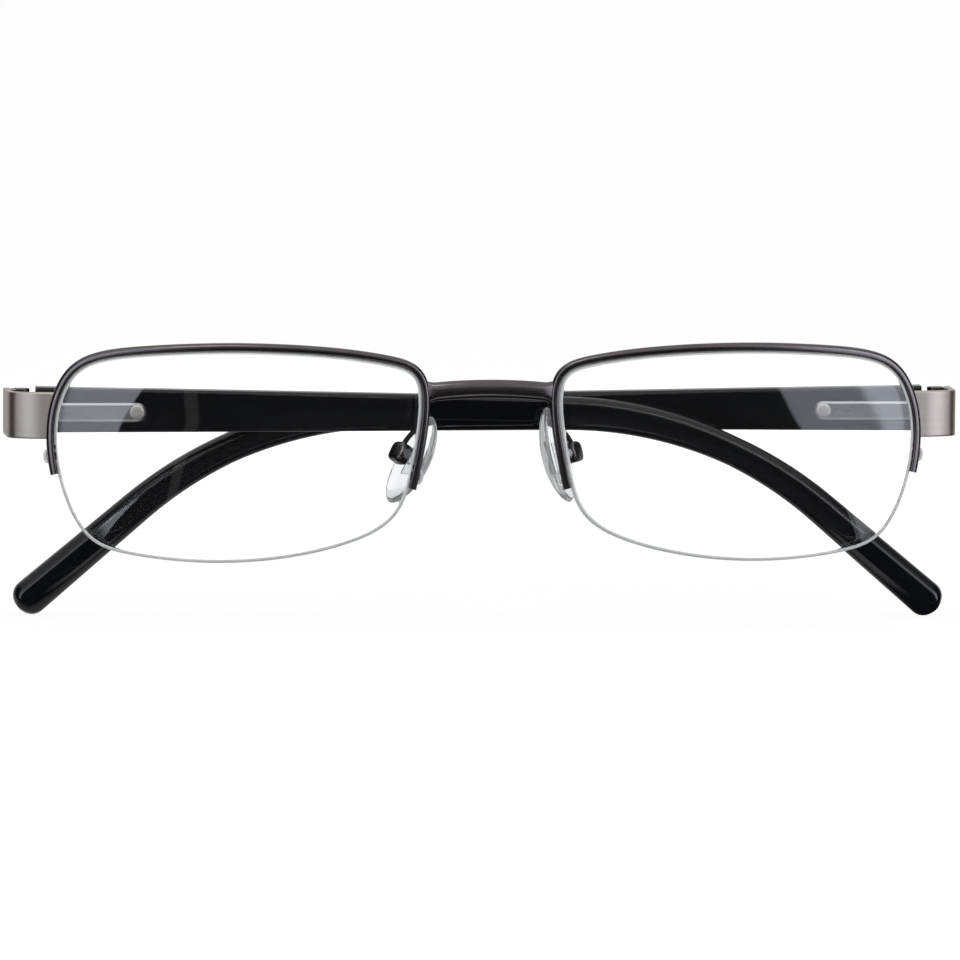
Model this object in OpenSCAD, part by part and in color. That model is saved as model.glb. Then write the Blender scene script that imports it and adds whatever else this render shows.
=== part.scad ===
// Reading glasses: a semi-rimless metal front with cord-held lenses, and two plastic temples
// on spring hinges, shown folded. All sizes are in millimetres.
// +X is the wearer's left, +Y runs back from the lenses towards the ears, and +Z is up.
// The origin is the middle of the nose gap, at the height of the lens centres.

/* [Lenses] */
// Width of a lens
lens_w = 54; // [50:0.2:57]
// Height of a lens
lens_h = 31; // [28:0.5:34]
// Thickness of a lens
lens_t = 2; // [1.6:0.1:2.4]
// Radius of a lens's front face
lens_r = 120; // [100:5:160]
// Width of the groove in the lens edge
groove_w = 0.65; // [0.6:0.05:0.75]
// Depth of the groove in the lens edge
groove_d = 0.35; // [0.32:0.01:0.4]

/* [Front] */
// Gap between the two lenses at the nose
nose_gap = 20.9; // [18:0.1:24]
// Angle by which each lens turns back from the middle
wrap = 5.7; // [4:0.1:8]
// Width of the rim wire, seen from the front
wire_w = 1.2; // [1:0.05:1.4]
// Depth of the rim wire, front to back
wire_d = 1.5; // [1.3:0.1:1.8]
// Gap between the lens edge and the rim wire
rim_gap = 0.17; // [0.12:0.01:0.24]
// Height at which the rim wire ends on the nose side
rim_nose_z = -4.55; // [-6:0.05:-3.5]
// Height at which the rim wire ends on the temple side
rim_side_z = -2.75; // [-4:0.05:-2]

/* [Bridge] */
// Height of the bridge's ends on the rims
bridge_z = 9.6; // [8.8:0.1:10.2]
// Height of the bridge bar itself
bridge_h = 2.45; // [2:0.05:3]
// Depth of the bridge bar, front to back
bridge_d = 1.8; // [1.5:0.1:2.2]
// Rise of the bridge's arch from its ends to its middle
bridge_rise = 0.6; // [0:0.1:1.2]
// Forward bow of the bridge's middle
bridge_bow = 0.5; // [0:0.1:1]

/* [End pieces] */
// Thickness of the end pieces' plate
plate_t = 1; // [0.8:0.1:1.2]
// Height of the end pieces' plate
plate_h = 6.9; // [6.4:0.05:7.6]
// Height of the middle of the plate and of the hinge
hinge_z = 5.75; // [5:0.05:6]
// Outer radius of the plate's bend
bend_r = 1.25; // [1.2:0.05:1.6]

/* [Hinges] */
// Distance of each hinge pin outside the lens's temple-side edge
hinge_side = 4.65; // [4.4:0.05:5.6]
// Distance of the hinge pins behind the lenses
hinge_y = 14; // [13.6:0.1:15]
// Radius of the knuckles on the front
knuckle_r = 1.3; // [1.2:0.05:1.4]
// Height of the middle knuckle, on the tongue
tongue_h = 2.1; // [1.9:0.05:2.3]
// Radius of the hinge screw's shank
screw_r = 0.6; // [0.5:0.05:0.65]
// Outward angle of the temples when open
splay = 2; // [0:0.5:3]
// Gap between the temple's butt and the end piece when open
butt_gap = 0.2; // [0.15:0.01:0.3]
// Travel of the sprung tongue when a temple is flexed outwards
flex = 1.2; // [0.8:0.1:1.5]

/* [Temples] */
// Length of a temple's straight stretch
temple_straight = 79.3; // [70:0.1:85]
// Radius of the temple's bend over the ear
ear_r = 60; // [50:1:70]
// Angle of the temple's bend
ear_angle = 40; // [30:1:45]
// Length of the tip behind the bend
tip_run = 23.4; // [18:0.1:28]
// Thickness of a temple
temple_t = 3.4; // [3.2:0.1:3.8]
// Height of a temple at the hinge
butt_h = 6.75; // [6.2:0.05:7]
// Height of a temple at its waist
waist_h = 4.4; // [4:0.1:5]
// Height of a temple at its tip
tip_h = 5.5; // [4.8:0.1:6]
// Lean of the folded temples from square, which lays one against the other
fold_lean = 1.6; // [1.6:0.02:1.8]

/* [Nose pads] */
// Length of a nose pad
pad_l = 14.5; // [12:0.1:16]
// Width of a nose pad
pad_w = 7.2; // [6:0.2:8]
// Thickness of a nose pad at its middle
pad_t = 1.8; // [1.6:0.1:2.2]
// Angle of the pads' spread from front to back
pad_splay = 32; // [26:1:36]
// Inward tilt of the wearer's right pad, as it rests
right_slant = 31.5; // [24:0.5:34]
// Inward tilt of the wearer's left pad, as it rests
left_slant = 16; // [12:1:22]

/* [Hidden] */

GUNMETAL = "#5a5456";
SATIN = "#b0a8a5";
STEEL = "#c9c9cc";
BLACK = "#17181b";
CLEAR = "#dfe8ec";
CORD = "#c8cccf";

// How far a soldered end is let into the piece that carries it
seat = 0.25;
// Clearance round a pin that turns, and round a part that is fixed in its pocket
run = 0.05;
fixed = 0.04;
// Length of a block that is drawn right through the front
through = 0.7 * lens_w;
// Distance of each hinge pin from the middle
hinge_x = nose_gap / 2 + lens_w * cos(wrap) + hinge_side;

// The lens outline is a closed cubic spline through the neighbourhood of these points.
// They are fractions of the half width and the half height, from the temple side over the top.
OUTLINE = [[1.01, 0.24], [0.97, 0.58], [0.86, 0.90], [0.49, 0.97], [0.01, 1.01], [-0.51, 0.97],
    [-0.84, 0.88], [-1.01, 0.79], [-1.00, 0.32], [-0.96, -0.05], [-0.90, -0.58], [-0.64, -0.82],
    [-0.24, -0.98], [0.20, -1.02], [0.61, -0.94], [0.84, -0.83], [0.98, -0.26]];
spans = len(OUTLINE);
steps = 5;

function unit(v) = v / norm(v);
function along(a, b, f) = a + (b - a) * f;
function blend(f) = [pow(1 - f, 3), 3 * f * f * f - 6 * f * f + 4,
    -3 * f * f * f + 3 * f * f + 3 * f + 1, f * f * f] / 6;
function blend_slope(f) = [-pow(1 - f, 2), 3 * f * f - 4 * f, -3 * f * f + 2 * f + 1, f * f] / 2;
function mix_points(i, w) = w[0] * OUTLINE[(i + spans - 1) % spans] + w[1] * OUTLINE[i % spans]
    + w[2] * OUTLINE[(i + 1) % spans] + w[3] * OUTLINE[(i + 2) % spans];
// t runs once round the outline from 0 to the number of spans, and may lie one turn outside
function raw_at(t) = mix_points(floor(t) + spans, blend(t - floor(t)));
raw = [for (k = [0 : spans * steps - 1]) raw_at(k / steps)];
raw_low = [min([for (p = raw) p[0]]), min([for (p = raw) p[1]])];
raw_high = [max([for (p = raw) p[0]]), max([for (p = raw) p[1]])];
outline_scale = [lens_w / (raw_high[0] - raw_low[0]), lens_h / (raw_high[1] - raw_low[1])];

// Points on the lens edge: across the lens towards the temple, and up
function edge_at(t) = let (p = raw_at(t) - (raw_low + raw_high) / 2)
    [p[0] * outline_scale[0], p[1] * outline_scale[1]];
function edge_slope(t) = let (p = mix_points(floor(t) + spans, blend_slope(t - floor(t))))
    [p[0] * outline_scale[0], p[1] * outline_scale[1]];
function edge_out(t) = let (s = unit(edge_slope(t))) [s[1], -s[0]];
function off_edge(t, out) = edge_at(t) + out * edge_out(t);
// Change of t that moves a point by this distance along the edge
function t_for(t, distance) = distance / norm(edge_slope(t));
// The t at which the edge passes a height, between two values of t on one side of the lens
function t_at_height(z, low, high, n = 24) = let (mid = (low + high) / 2)
    n == 0 ? mid
    : (edge_at(mid)[1] - z) * (edge_at(low)[1] - z) > 0 ? t_at_height(z, mid, high, n - 1)
    : t_at_height(z, low, mid, n - 1);
// The values of t from a to b that fall on the outline's own corners, with a and b themselves
function t_list(a, b) = concat([a],
    [for (k = [ceil(a * steps + 0.2) : floor(b * steps - 0.2)]) k / steps], [b]);

nose_side = [7, 11];
temple_side = [-2, 1];
t_side_end = t_at_height(rim_side_z, temple_side[0], temple_side[1]);
t_nose_end = t_at_height(rim_nose_z, nose_side[0], nose_side[1]);
t_bridge = t_at_height(bridge_z, nose_side[0], nose_side[1]);

// The lens is cut from a ball, and its nose-side edge lies at the front plane
middle_r = lens_r - lens_t / 2;
ball_y = sqrt(lens_r * lens_r - lens_w * lens_w / 4);
function lens_depth(p) = ball_y - sqrt(middle_r * middle_r - p[0] * p[0] - p[1] * p[1]);
// A point off the lens edge, in the lens's own frame: outwards by out, and back by back
function rim_point(t, out, back = 0) = let (p = off_edge(t, out))
    [p[0], lens_depth(edge_at(t)) + back, p[1]];
// The same point in the frame of the whole, on the wearer's left
function to_front(p) = let (x = p[0] + lens_w / 2)
    [nose_gap / 2 + x * cos(wrap) - p[1] * sin(wrap), x * sin(wrap) + p[1] * cos(wrap), p[2]];

rim_outer = rim_gap + wire_w;
// End piece: its front leg lies on the rim wire's outer side, its return leg runs back to the hinge
t_plate = t_at_height(hinge_z, temple_side[0], 3);
plate_front_y = to_front(rim_point(t_plate, rim_outer))[1] - 0.6 * plate_t;
plate_low_z = hinge_z - plate_h / 2;
hinge_out = knuckle_r + 0.15 + plate_t;
wall_end = knuckle_r + 0.7;
butt_s = wall_end + butt_gap;
leaf_t = 0.5;
leaf_l = 3.2;

// Hinge stack, top to bottom: knuckle, tongue, knuckle
knuckle_gap = 0.08;
knuckle_h = (plate_h - tongue_h) / 2 - knuckle_gap;
eye_r = knuckle_r - 0.05;
head_r = knuckle_r - 0.3;
head_h = 0.5;

// Spring housing on the temple's inner face, and what slides in it
housing_h = 2.7;
housing_end_r = housing_h / 2;
housing_l = 16.5;
housing_proud = 0.5;
housing_bevel = 0.3;
housing_wall = 0.43;
inner_face = hinge_out - temple_t;
housing_out = inner_face - housing_proud;
neck_t = 1.3;
neck_h = tongue_h - 0.2;
slot_gap = 0.1;
housing_in = housing_out + neck_t + 2 * slot_gap + 2 * housing_wall;
slide_y = (housing_out + housing_in) / 2;
neck_end = butt_s + 2.2;
shoulder_s = neck_end + 0.2;
shoulder_t = 0.8;
chamber_s = shoulder_s + shoulder_t;
chamber_r = 0.9;
shank_r = 0.4;
stop_t = 0.8;
pin_s = butt_s + housing_l - housing_end_r;
pin_r = housing_end_r - 0.25;
pin_depth = 0.7;
stop_s = pin_s - pin_r - 0.5 - flex - stop_t;
coil_r = 0.675;
coil_wire_r = 0.125;
coils = 7;
shank_end = 0.2;

// Nose pads and what carries them
box_w = 3;
box_h = 3.1;
box_d = 2;
box_wall = 0.4;
box_back_wall = 0.33;
pad_reach = pad_t / 2 + 2.2;
pad_rise = 0.2;
pad_box = [nose_gap / 2 + 2.6, hinge_y - 8.1, 0.25];
pad_screw_r = 0.35;
pad_head_r = 0.68;
pad_head_h = 0.3;
lug_w = 1.2;
lug_r = 0.6;
anchor_t = 0.5;
arm_r = 0.38;
arm_z = 4.7;

module on_side(side) {
    if (side == "right") mirror([1, 0, 0]) children();
    else children();
}
module lens_frame() {
    translate([nose_gap / 2, 0, 0]) rotate([0, 0, wrap]) translate([lens_w / 2, 0, 0]) children();
}
// The hinge's frame with the temple open: X outwards, Y back along the temple
module open_frame() {
    translate([hinge_x, hinge_y, 0]) rotate([0, 0, -splay]) children();
}
// The temple's frame, folded: it runs along -X from the hinge pin, with its outer face towards +Y
function lean(side) = side == "right" ? fold_lean : -fold_lean;
module temple_frame(side) {
    on_side(side) translate([hinge_x, hinge_y, 0]) rotate([0, 0, lean(side)]) children();
}
// The pad's frame: its screw runs along Y, and the pad lies at -X, towards the nose
function slant(side) = side == "right" ? right_slant : left_slant;
module pad_frame(side) {
    on_side(side) translate(pad_box) rotate([0, 0, -pad_splay]) rotate([0, -slant(side), 0]) children();
}

function reversed(list) = [for (k = [len(list) - 1 : -1 : 0]) list[k]];
// A skin over a list of rings, whose points turn anticlockwise seen from the last ring.
// A ring that isn't convex is closed by the convex pieces listed in cap.
module skin(rings, cap = []) {
    n = len(rings[0]);
    last = len(rings) - 1;
    walls = [for (i = [0 : last - 1], k = [0 : n - 1])
        let (a = i * n + k, b = i * n + (k + 1) % n) each [[a, a + n, b + n], [a, b + n, b]]];
    pieces = len(cap) > 0 ? cap : [[for (k = [0 : n - 1]) k]];
    far_pieces = [for (piece = pieces) reversed([for (k = piece) last * n + k])];
    polyhedron([for (ring = rings) each ring], concat(walls, pieces, far_pieces), convexity = 10);
}
// A round tube of radius r along a path that never runs along the direction given by side_way
function tube_rings(path, r, side_way, sides) = [for (i = [0 : len(path) - 1])
    let (way = unit(path[min(i + 1, len(path) - 1)] - path[max(i - 1, 0)]),
        a = unit(side_way - (side_way * way) * way),
        b = cross(way, a))
    [for (k = [0 : sides - 1]) path[i] + r * (cos(360 * k / sides) * a + sin(360 * k / sides) * b)]];
// A rectangle with rounded corners, anticlockwise, with n + 1 points on each corner
function rounded(x0, x1, y0, y1, r, n = 3) = [for (c = [[x1 - r, y0 + r, -90], [x1 - r, y1 - r, 0],
    [x0 + r, y1 - r, 90], [x0 + r, y0 + r, 180]], k = [0 : n])
    [c[0] + r * cos(c[2] + 90 * k / n), c[1] + r * sin(c[2] + 90 * k / n)]];

// The outline of a lens, moved outwards and drawn right through the front
module outline_block(out, depth = through) {
    rotate([90, 0, 0]) linear_extrude(height = depth, center = true)
        polygon([for (k = [0 : spans * steps - 1]) off_edge(k / steps, out)]);
}
module ball(r) {
    translate([0, ball_y, 0]) sphere(r = r, $fn = 240);
}
module rod(r, h) {
    rotate([90, 0, 0]) cylinder(r = r, h = h, center = true, $fn = 32);
}
// A rod that runs away from the hinge, from one distance to another, inside the housing
module slide_rod(r, from, to) {
    translate([-from, slide_y, hinge_z]) rotate([0, -90, 0]) cylinder(r = r, h = to - from, $fn = 32);
}

// Lens: a slice of a thin ball shell in the outline's shape, grooved round its edge for the cords
module lens(side) {
    color(CLEAR, 0.4) on_side(side) lens_frame() difference() {
        intersection() {
            ball(lens_r);
            outline_block(0);
        }
        ball(lens_r - lens_t);
        intersection() {
            difference() {
                ball(middle_r + groove_w / 2);
                ball(middle_r - groove_w / 2);
            }
            difference() {
                outline_block(2 * groove_w);
                outline_block(-groove_d, through + 1);
            }
        }
    }
}

// Rim: a wire of C section over the top of the lens, open towards the lens, with two small holes
// near each end for the cord that holds the lens
notch_w = 0.64;
notch_d = 0.3;
hole_r = 0.35;
side_hole = 1.9;
nose_hole = 1;
hole_pitch = 1.7;
RIM_SECTION = let (w = wire_w, d = wire_d / 2, n = notch_w / 2)
    [[0, 0.15 - d], [0.15, -d], [w - 0.4, -d], [w - 0.1, 0.15 - d], [w, 0.45 - d], [w, d - 0.45],
    [w - 0.1, d - 0.15], [w - 0.4, d], [0.15, d], [0, d - 0.15], [0, n], [notch_d, n],
    [notch_d, -n], [0, -n]];
RIM_CAP = [[0, 1, 2, 12, 13], [2, 3, 4, 5, 6, 7, 11, 12], [7, 8, 9, 10, 11]];
function hole_t(k) = k < 2
    ? t_side_end + t_for(t_side_end, side_hole + k * hole_pitch)
    : t_nose_end - t_for(t_nose_end, nose_hole + (k - 2) * hole_pitch);
module rim(side) {
    color(GUNMETAL) on_side(side) lens_frame() difference() {
        skin([for (t = t_list(t_side_end, t_nose_end))
            [for (p = RIM_SECTION) rim_point(t, rim_gap + p[0], p[1])]], RIM_CAP);
        for (k = [0 : 3]) {
            way = edge_out(hole_t(k));
            translate(rim_point(hole_t(k), 0)) rotate([0, atan2(way[0], way[1]), 0])
                cylinder(r = hole_r, h = 3, $fn = 24);
        }
    }
}

// Liner: the upper cord, which lies between the wire's channel and the lens's groove
liner_r = 0.22;
module liner(side) {
    from = hole_t(1) + t_for(hole_t(1), 0.8);
    to = hole_t(3) - t_for(hole_t(3), 0.8);
    color(CORD) on_side(side) lens_frame()
        skin(tube_rings([for (t = t_list(from, to)) rim_point(t, 0.06)], liner_r, [0, 1, 0], 6));
}

// Lower cord: it holds the lens from below in its groove, leaves the wire through a hole near
// each end, lies outside it in a small loop and goes back in through the next hole
cord_r = 0.275;
loop_out = rim_outer + cord_r + 0.02;
turn = 0.28 / hole_pitch;
function loop_at(first, second) = [for (p = [[1, 0.1], [1, 0.5], [1, rim_outer - 0.1], [1 - turn, loop_out],
    [0.5, loop_out + 0.1], [turn, loop_out], [0, rim_outer - 0.1], [0, 0.5]])
    rim_point(along(first, second, p[0]), p[1])];
module lower_cord(side) {
    low = [for (t = t_list(hole_t(2), hole_t(0) + spans)) rim_point(t, 0)];
    path = concat(loop_at(hole_t(2), hole_t(3)), low, reversed(loop_at(hole_t(0), hole_t(1))));
    color(CORD) on_side(side) lens_frame() skin(tube_rings(path, cord_r, [0, 1, 0], 6));
}

// Bridge: an arched bar, flared where it is soldered to the two rims
bridge_end = to_front(rim_point(t_bridge, rim_outer));
bridge_reach = bridge_end[0] + 1.2;
flare_l = 1.6;
module bridge() {
    n = 20;
    color(GUNMETAL) difference() {
        skin([for (k = [-n : n]) let (x = bridge_reach * k / n, f = x / bridge_reach,
            flare = pow(max(0, (abs(x) - bridge_reach + flare_l) / flare_l), 2) * 0.5,
            y = bridge_end[1] - bridge_bow * (1 - f * f), z = bridge_z + bridge_rise * (1 - f * f),
            h = bridge_h / 2 + flare, d = bridge_d / 2)
            [for (p = rounded(y - d, y + d, z - h, z + h, 0.65)) [x, p[0], p[1]]]]);
        for (side = ["right", "left"]) {
            on_side(side) lens_frame() outline_block(rim_outer - seat);
        }
    }
}

// End piece: a plate soldered to the rim wire, bent back round the corner to the hinge
bend_x = hinge_out - bend_r;
bend_y = (plate_front_y + bend_r - hinge_y + bend_x * sin(splay)) / cos(splay);
function bend_arc(r, from, to) = [for (k = [0 : 8]) let (a = along(from, to, k / 8))
    [bend_x + r * cos(a), bend_y + r * sin(a)]];
corner_low = 1;
corner_high = 0.4;
module end_piece(side) {
    leg = 9;
    inward = [cos(splay - 180), sin(splay - 180)];
    outer = bend_arc(bend_r, splay - 90, 0);
    inner = bend_arc(bend_r - plate_t, 0, splay - 90);
    root = outer[0] + leg * inward;
    root_in = inner[8] + leg * inward;
    side_view = concat([[-through, plate_low_z], [wall_end - corner_low, plate_low_z]],
        [for (k = [1 : 6]) [wall_end - corner_low + corner_low * sin(15 * k),
            plate_low_z + corner_low - corner_low * cos(15 * k)]],
        [for (k = [0 : 4]) [wall_end - corner_high + corner_high * cos(22.5 * k),
            plate_low_z + plate_h - corner_high + corner_high * sin(22.5 * k)]],
        [[-through, plate_low_z + plate_h]]);
    color(SATIN) on_side(side) difference() {
        open_frame() intersection() {
            translate([0, 0, plate_low_z]) linear_extrude(height = plate_h)
                polygon(concat([root], outer, [[hinge_out, wall_end], [hinge_out - plate_t, wall_end]],
                    inner, [root_in]));
            rotate([90, 0, 90]) linear_extrude(height = through, center = true) polygon(side_view);
        }
        lens_frame() outline_block(rim_outer - seat);
    }
}

// Front hinge: a leaf on the inside of the end piece with an upper and a lower knuckle
module front_hinge(side) {
    top = plate_low_z + plate_h;
    leaf_x = hinge_out - plate_t - leaf_t;
    color(GUNMETAL) on_side(side) open_frame() difference() {
        union() {
            translate([leaf_x, -leaf_l, plate_low_z]) cube([leaf_t, leaf_l + 0.6, plate_h]);
            for (z = [plate_low_z, top - knuckle_h]) {
                translate([0, 0, z]) cylinder(r = knuckle_r, h = knuckle_h, $fn = 48);
                translate([0, -knuckle_r, z]) cube([leaf_x + leaf_t, knuckle_r + 0.6, knuckle_h]);
            }
        }
        translate([0, 0, plate_low_z - 1]) cylinder(r = screw_r + fixed / 2, h = plate_h + 2, $fn = 32);
        translate([0, 0, top - head_h - run]) cylinder(r = head_r + run, h = 2, $fn = 32);
        translate([0, 0, plate_low_z + knuckle_h]) cylinder(r = eye_r + 0.12, h = tongue_h + 2 * knuckle_gap, $fn = 48);
    }
}

// Hinge screw: a shank down through the three knuckles, with a slotted head let into the top one
module hinge_screw(side) {
    top = plate_low_z + plate_h - run;
    color(STEEL) on_side(side) open_frame() difference() {
        union() {
            translate([0, 0, plate_low_z + 0.1]) cylinder(r = screw_r, h = top - plate_low_z - 0.3, $fn = 32);
            translate([0, 0, top - head_h]) cylinder(r = head_r, h = head_h, $fn = 32);
        }
        translate([-2, -0.12, top - 0.2]) cube([4, 0.24, 1]);
    }
}

// Hinge tongue: the middle knuckle, the neck that slides in the housing and the shank behind it
module hinge_tongue(side) {
    color(STEEL) temple_frame(side) difference() {
        union() {
            translate([0, 0, hinge_z]) cylinder(r = eye_r, h = tongue_h, center = true, $fn = 48);
            translate([-neck_end, slide_y - neck_t / 2, hinge_z - neck_h / 2]) cube([neck_end, neck_t, neck_h]);
            slide_rod(shank_r, neck_end - 0.1, stop_s + stop_t + shank_end);
        }
        translate([0, 0, hinge_z]) cylinder(r = screw_r + run, h = 5, center = true, $fn = 32);
    }
}

// Spring stop: the collar on the far end of the tongue's shank, which the spring bears on
module spring_stop(side) {
    color(STEEL) temple_frame(side) difference() {
        slide_rod(chamber_r - 0.1, stop_s, stop_s + stop_t);
        slide_rod(shank_r + fixed / 2, stop_s - 1, stop_s + 2 * stop_t);
    }
}

// Hinge spring: a coil round the shank, pressed between the housing's shoulder and the collar
module hinge_spring(side) {
    from = chamber_s + coil_wire_r + run;
    to = stop_s - coil_wire_r - run;
    path = [for (k = [0 : 8 * coils]) [-along(from, to, k / (8 * coils)),
        slide_y + coil_r * cos(45 * k), hinge_z + coil_r * sin(45 * k)]];
    color(STEEL) temple_frame(side) skin(tube_rings(path, coil_wire_r, [1, 0, 0], 6));
}

// The housing's outer form, round at its far end and bevelled at its edges; grow adds to it all round
module housing_form(grow) {
    r = housing_end_r + grow;
    low = housing_out - grow;
    high = housing_in + grow;
    half = [[0, low], [r - housing_bevel, low], [r, low + housing_bevel], [r, high], [0, high]];
    translate([-pin_s, 0, hinge_z]) rotate([-90, 0, 0]) rotate([0, 0, 90])
        rotate_extrude(angle = 180, $fn = 48) polygon(half);
    translate([-pin_s, 0, hinge_z]) rotate([90, 0, 90]) linear_extrude(height = pin_s - butt_s)
        polygon(concat([for (p = half) [p[1], p[0]]],
            [for (k = [len(half) - 1 : -1 : 0]) [half[k][1], -half[k][0]]]));
}
module spring_housing(side) {
    color(SATIN) temple_frame(side) difference() {
        housing_form(0);
        translate([-shoulder_s, slide_y - neck_t / 2 - slot_gap, hinge_z - neck_h / 2 - slot_gap])
            cube([shoulder_s, neck_t + 2 * slot_gap, neck_h + 2 * slot_gap]);
        slide_rod(shank_r + slot_gap, shoulder_s - 1, chamber_s + 1);
        slide_rod(chamber_r, chamber_s, stop_s + stop_t + shank_end + flex);
        translate([-pin_s, 0, hinge_z]) rod(pin_r + fixed / 2, 20);
    }
}

// Housing pin: the rivet that holds the housing's round end in the temple
module housing_pin(side) {
    from = housing_out - 0.08;
    to = housing_in + pin_depth;
    color(STEEL) temple_frame(side)
        translate([-pin_s, (from + to) / 2, hinge_z]) rod(pin_r, to - from);
}

// Temple: a flat bar that tapers to a waist, bends down over the ear and swells to a round tip.
// Its middle line is a straight stretch, an arc and a straight tip, at the distance s from the butt.
start_droop = 0.4;
butt_z = 6.05;
arc_l = ear_r * ear_angle * PI / 180;
temple_l = temple_straight + arc_l + tip_run;
tip_r = 2.5;
edge_r = 0.7;
function droop(s) = start_droop + ear_angle * max(0, min(1, (s - temple_straight) / arc_l));
function middle_at(s) = let (a = start_droop, b = droop(s),
    flat = min(s, temple_straight), tail = max(0, s - temple_straight - arc_l))
    [butt_s + flat * cos(a) + ear_r * (sin(b) - sin(a)) + tail * cos(b),
    butt_z - flat * sin(a) - ear_r * (cos(a) - cos(b)) - tail * sin(b)];
waist_s = temple_straight + 0.62 * arc_l;
function temple_h(s) = s < waist_s ? along(butt_h, waist_h, s / waist_s)
    : along(waist_h, tip_h, (s - waist_s) / (temple_l - waist_s));
// How much a rounded end of radius r has drawn in at s
function drawn_in(s, r) = let (d = max(0, s - temple_l + r)) r - sqrt(max(0, r * r - d * d));
function temple_ring(s) = let (m = middle_at(s), a = droop(s), h = temple_h(s) / 2 - drawn_in(s, tip_r),
    thin = drawn_in(s, 1))
    [for (p = rounded(-h, h, inner_face + thin, hinge_out - 0.4 * thin, edge_r * (1 - 0.4 * thin)))
        [-m[0] - p[0] * sin(a), p[1], m[1] + p[0] * cos(a)]];
TEMPLE_STATIONS = concat([0, 8, 20, 35, 50, 65], [for (k = [0 : 12]) temple_straight + arc_l * k / 12],
    [for (k = [1 : 3]) temple_straight + arc_l + (tip_run - tip_r) * k / 3],
    [for (k = [1 : 5]) temple_l - tip_r * (1 - sin(17 * k))]);
module temple(side) {
    color(BLACK) temple_frame(side) difference() {
        skin([for (s = TEMPLE_STATIONS) temple_ring(s)]);
        housing_form(fixed);
        translate([-butt_s - 2, housing_out - 2, hinge_z - housing_end_r - fixed])
            cube([4, housing_in - housing_out + 2 + fixed, 2 * (housing_end_r + fixed)]);
        translate([-pin_s, housing_in + pin_depth / 2, hinge_z]) rod(pin_r + fixed / 2, pin_depth + 2 * fixed);
    }
}

// Pad arm: a wire soldered behind the rim, which runs back and down to the pad's box
function bezier(p, f) = pow(1 - f, 3) * p[0] + 3 * f * pow(1 - f, 2) * p[1]
    + 3 * f * f * (1 - f) * p[2] + f * f * f * p[3];
module pad_arm(side) {
    t_arm = t_at_height(arm_z, nose_side[0], nose_side[1]);
    root = to_front(rim_point(t_arm, rim_gap + wire_w * 0.6, wire_d / 2 - seat));
    up = [-sin(slant(side)) * cos(pad_splay), sin(slant(side)) * sin(pad_splay), cos(slant(side))];
    end = pad_box + up * (box_h / 2 - seat);
    handles = [root, root + [0.2, 2.6, 0.1], end + [-0.6, -0.6, 1.6], end];
    color(GUNMETAL) on_side(side)
        skin(tube_rings([for (k = [0 : 14]) bezier(handles, k / 14)], arm_r, [1, 0, 0], 8));
}

// Pad box: the small cup on the arm that takes the pad's lug, open towards the pad
module pad_box(side) {
    color(GUNMETAL) pad_frame(side) difference() {
        rotate([0, 90, 0]) linear_extrude(height = box_d, center = true)
            polygon(rounded(-box_h / 2, box_h / 2, -box_w / 2, box_w / 2, 0.8));
        translate([-box_d / 2 - 1, -lug_w / 2 - 0.12, box_wall - box_h / 2])
            cube([box_d + 1 - box_back_wall, lug_w + 0.24, box_h - 2 * box_wall]);
        rod(pad_screw_r + fixed / 2, box_w + 2);
    }
}

// Pad screw: it runs through the box and the lug, with its head at the front
module pad_screw(side) {
    color(STEEL) pad_frame(side) difference() {
        union() {
            translate([0, -0.1, 0]) rod(pad_screw_r, box_w);
            translate([0, -(box_w + pad_head_h) / 2, 0]) rod(pad_head_r, pad_head_h);
        }
        translate([-pad_head_r, -box_w / 2 - 1, -0.1]) cube([2 * pad_head_r, 1 - pad_head_h / 2, 0.2]);
    }
}

// Pad core: the metal plate moulded into the pad, and the lug on it that turns on the pad screw
module core_anchor(grow) {
    translate([-pad_reach, 0, 0]) cube([anchor_t, 2.6, 4.2] + 2 * grow * [1, 1, 1], center = true);
}
module pad_core(side) {
    color(STEEL) pad_frame(side) difference() {
        union() {
            core_anchor(0);
            translate([-pad_reach, -lug_w / 2, -lug_r]) cube([pad_reach, lug_w, 2 * lug_r]);
            rod(lug_r, lug_w);
        }
        rod(pad_screw_r + run, lug_w + 1);
    }
}

// Nose pad: an egg-shaped cushion, domed towards the nose and flat behind
dome_sag = 1.1;
dome_r = (pad_l * pad_l / 4 + dome_sag * dome_sag) / (2 * dome_sag);
module nose_pad(side) {
    egg = [for (k = [0 : 39]) let (a = 9 * k)
        [-pad_l / 2 * cos(a), pad_w / 2 * sin(a) * (1 - 0.12 * cos(a))]];
    color(CLEAR, 0.6) pad_frame(side) difference() {
        intersection() {
            translate([-pad_reach, 0, pad_rise]) rotate([0, 90, 0])
                linear_extrude(height = pad_t, center = true) polygon(egg);
            translate([dome_r - pad_reach - pad_t / 2, 0, pad_rise]) sphere(r = dome_r, $fn = 240);
        }
        core_anchor(fixed);
        translate([-pad_reach, -lug_w / 2 - fixed, -lug_r - fixed])
            cube([pad_t, lug_w + 2 * fixed, 2 * (lug_r + fixed)]);
    }
}

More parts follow.
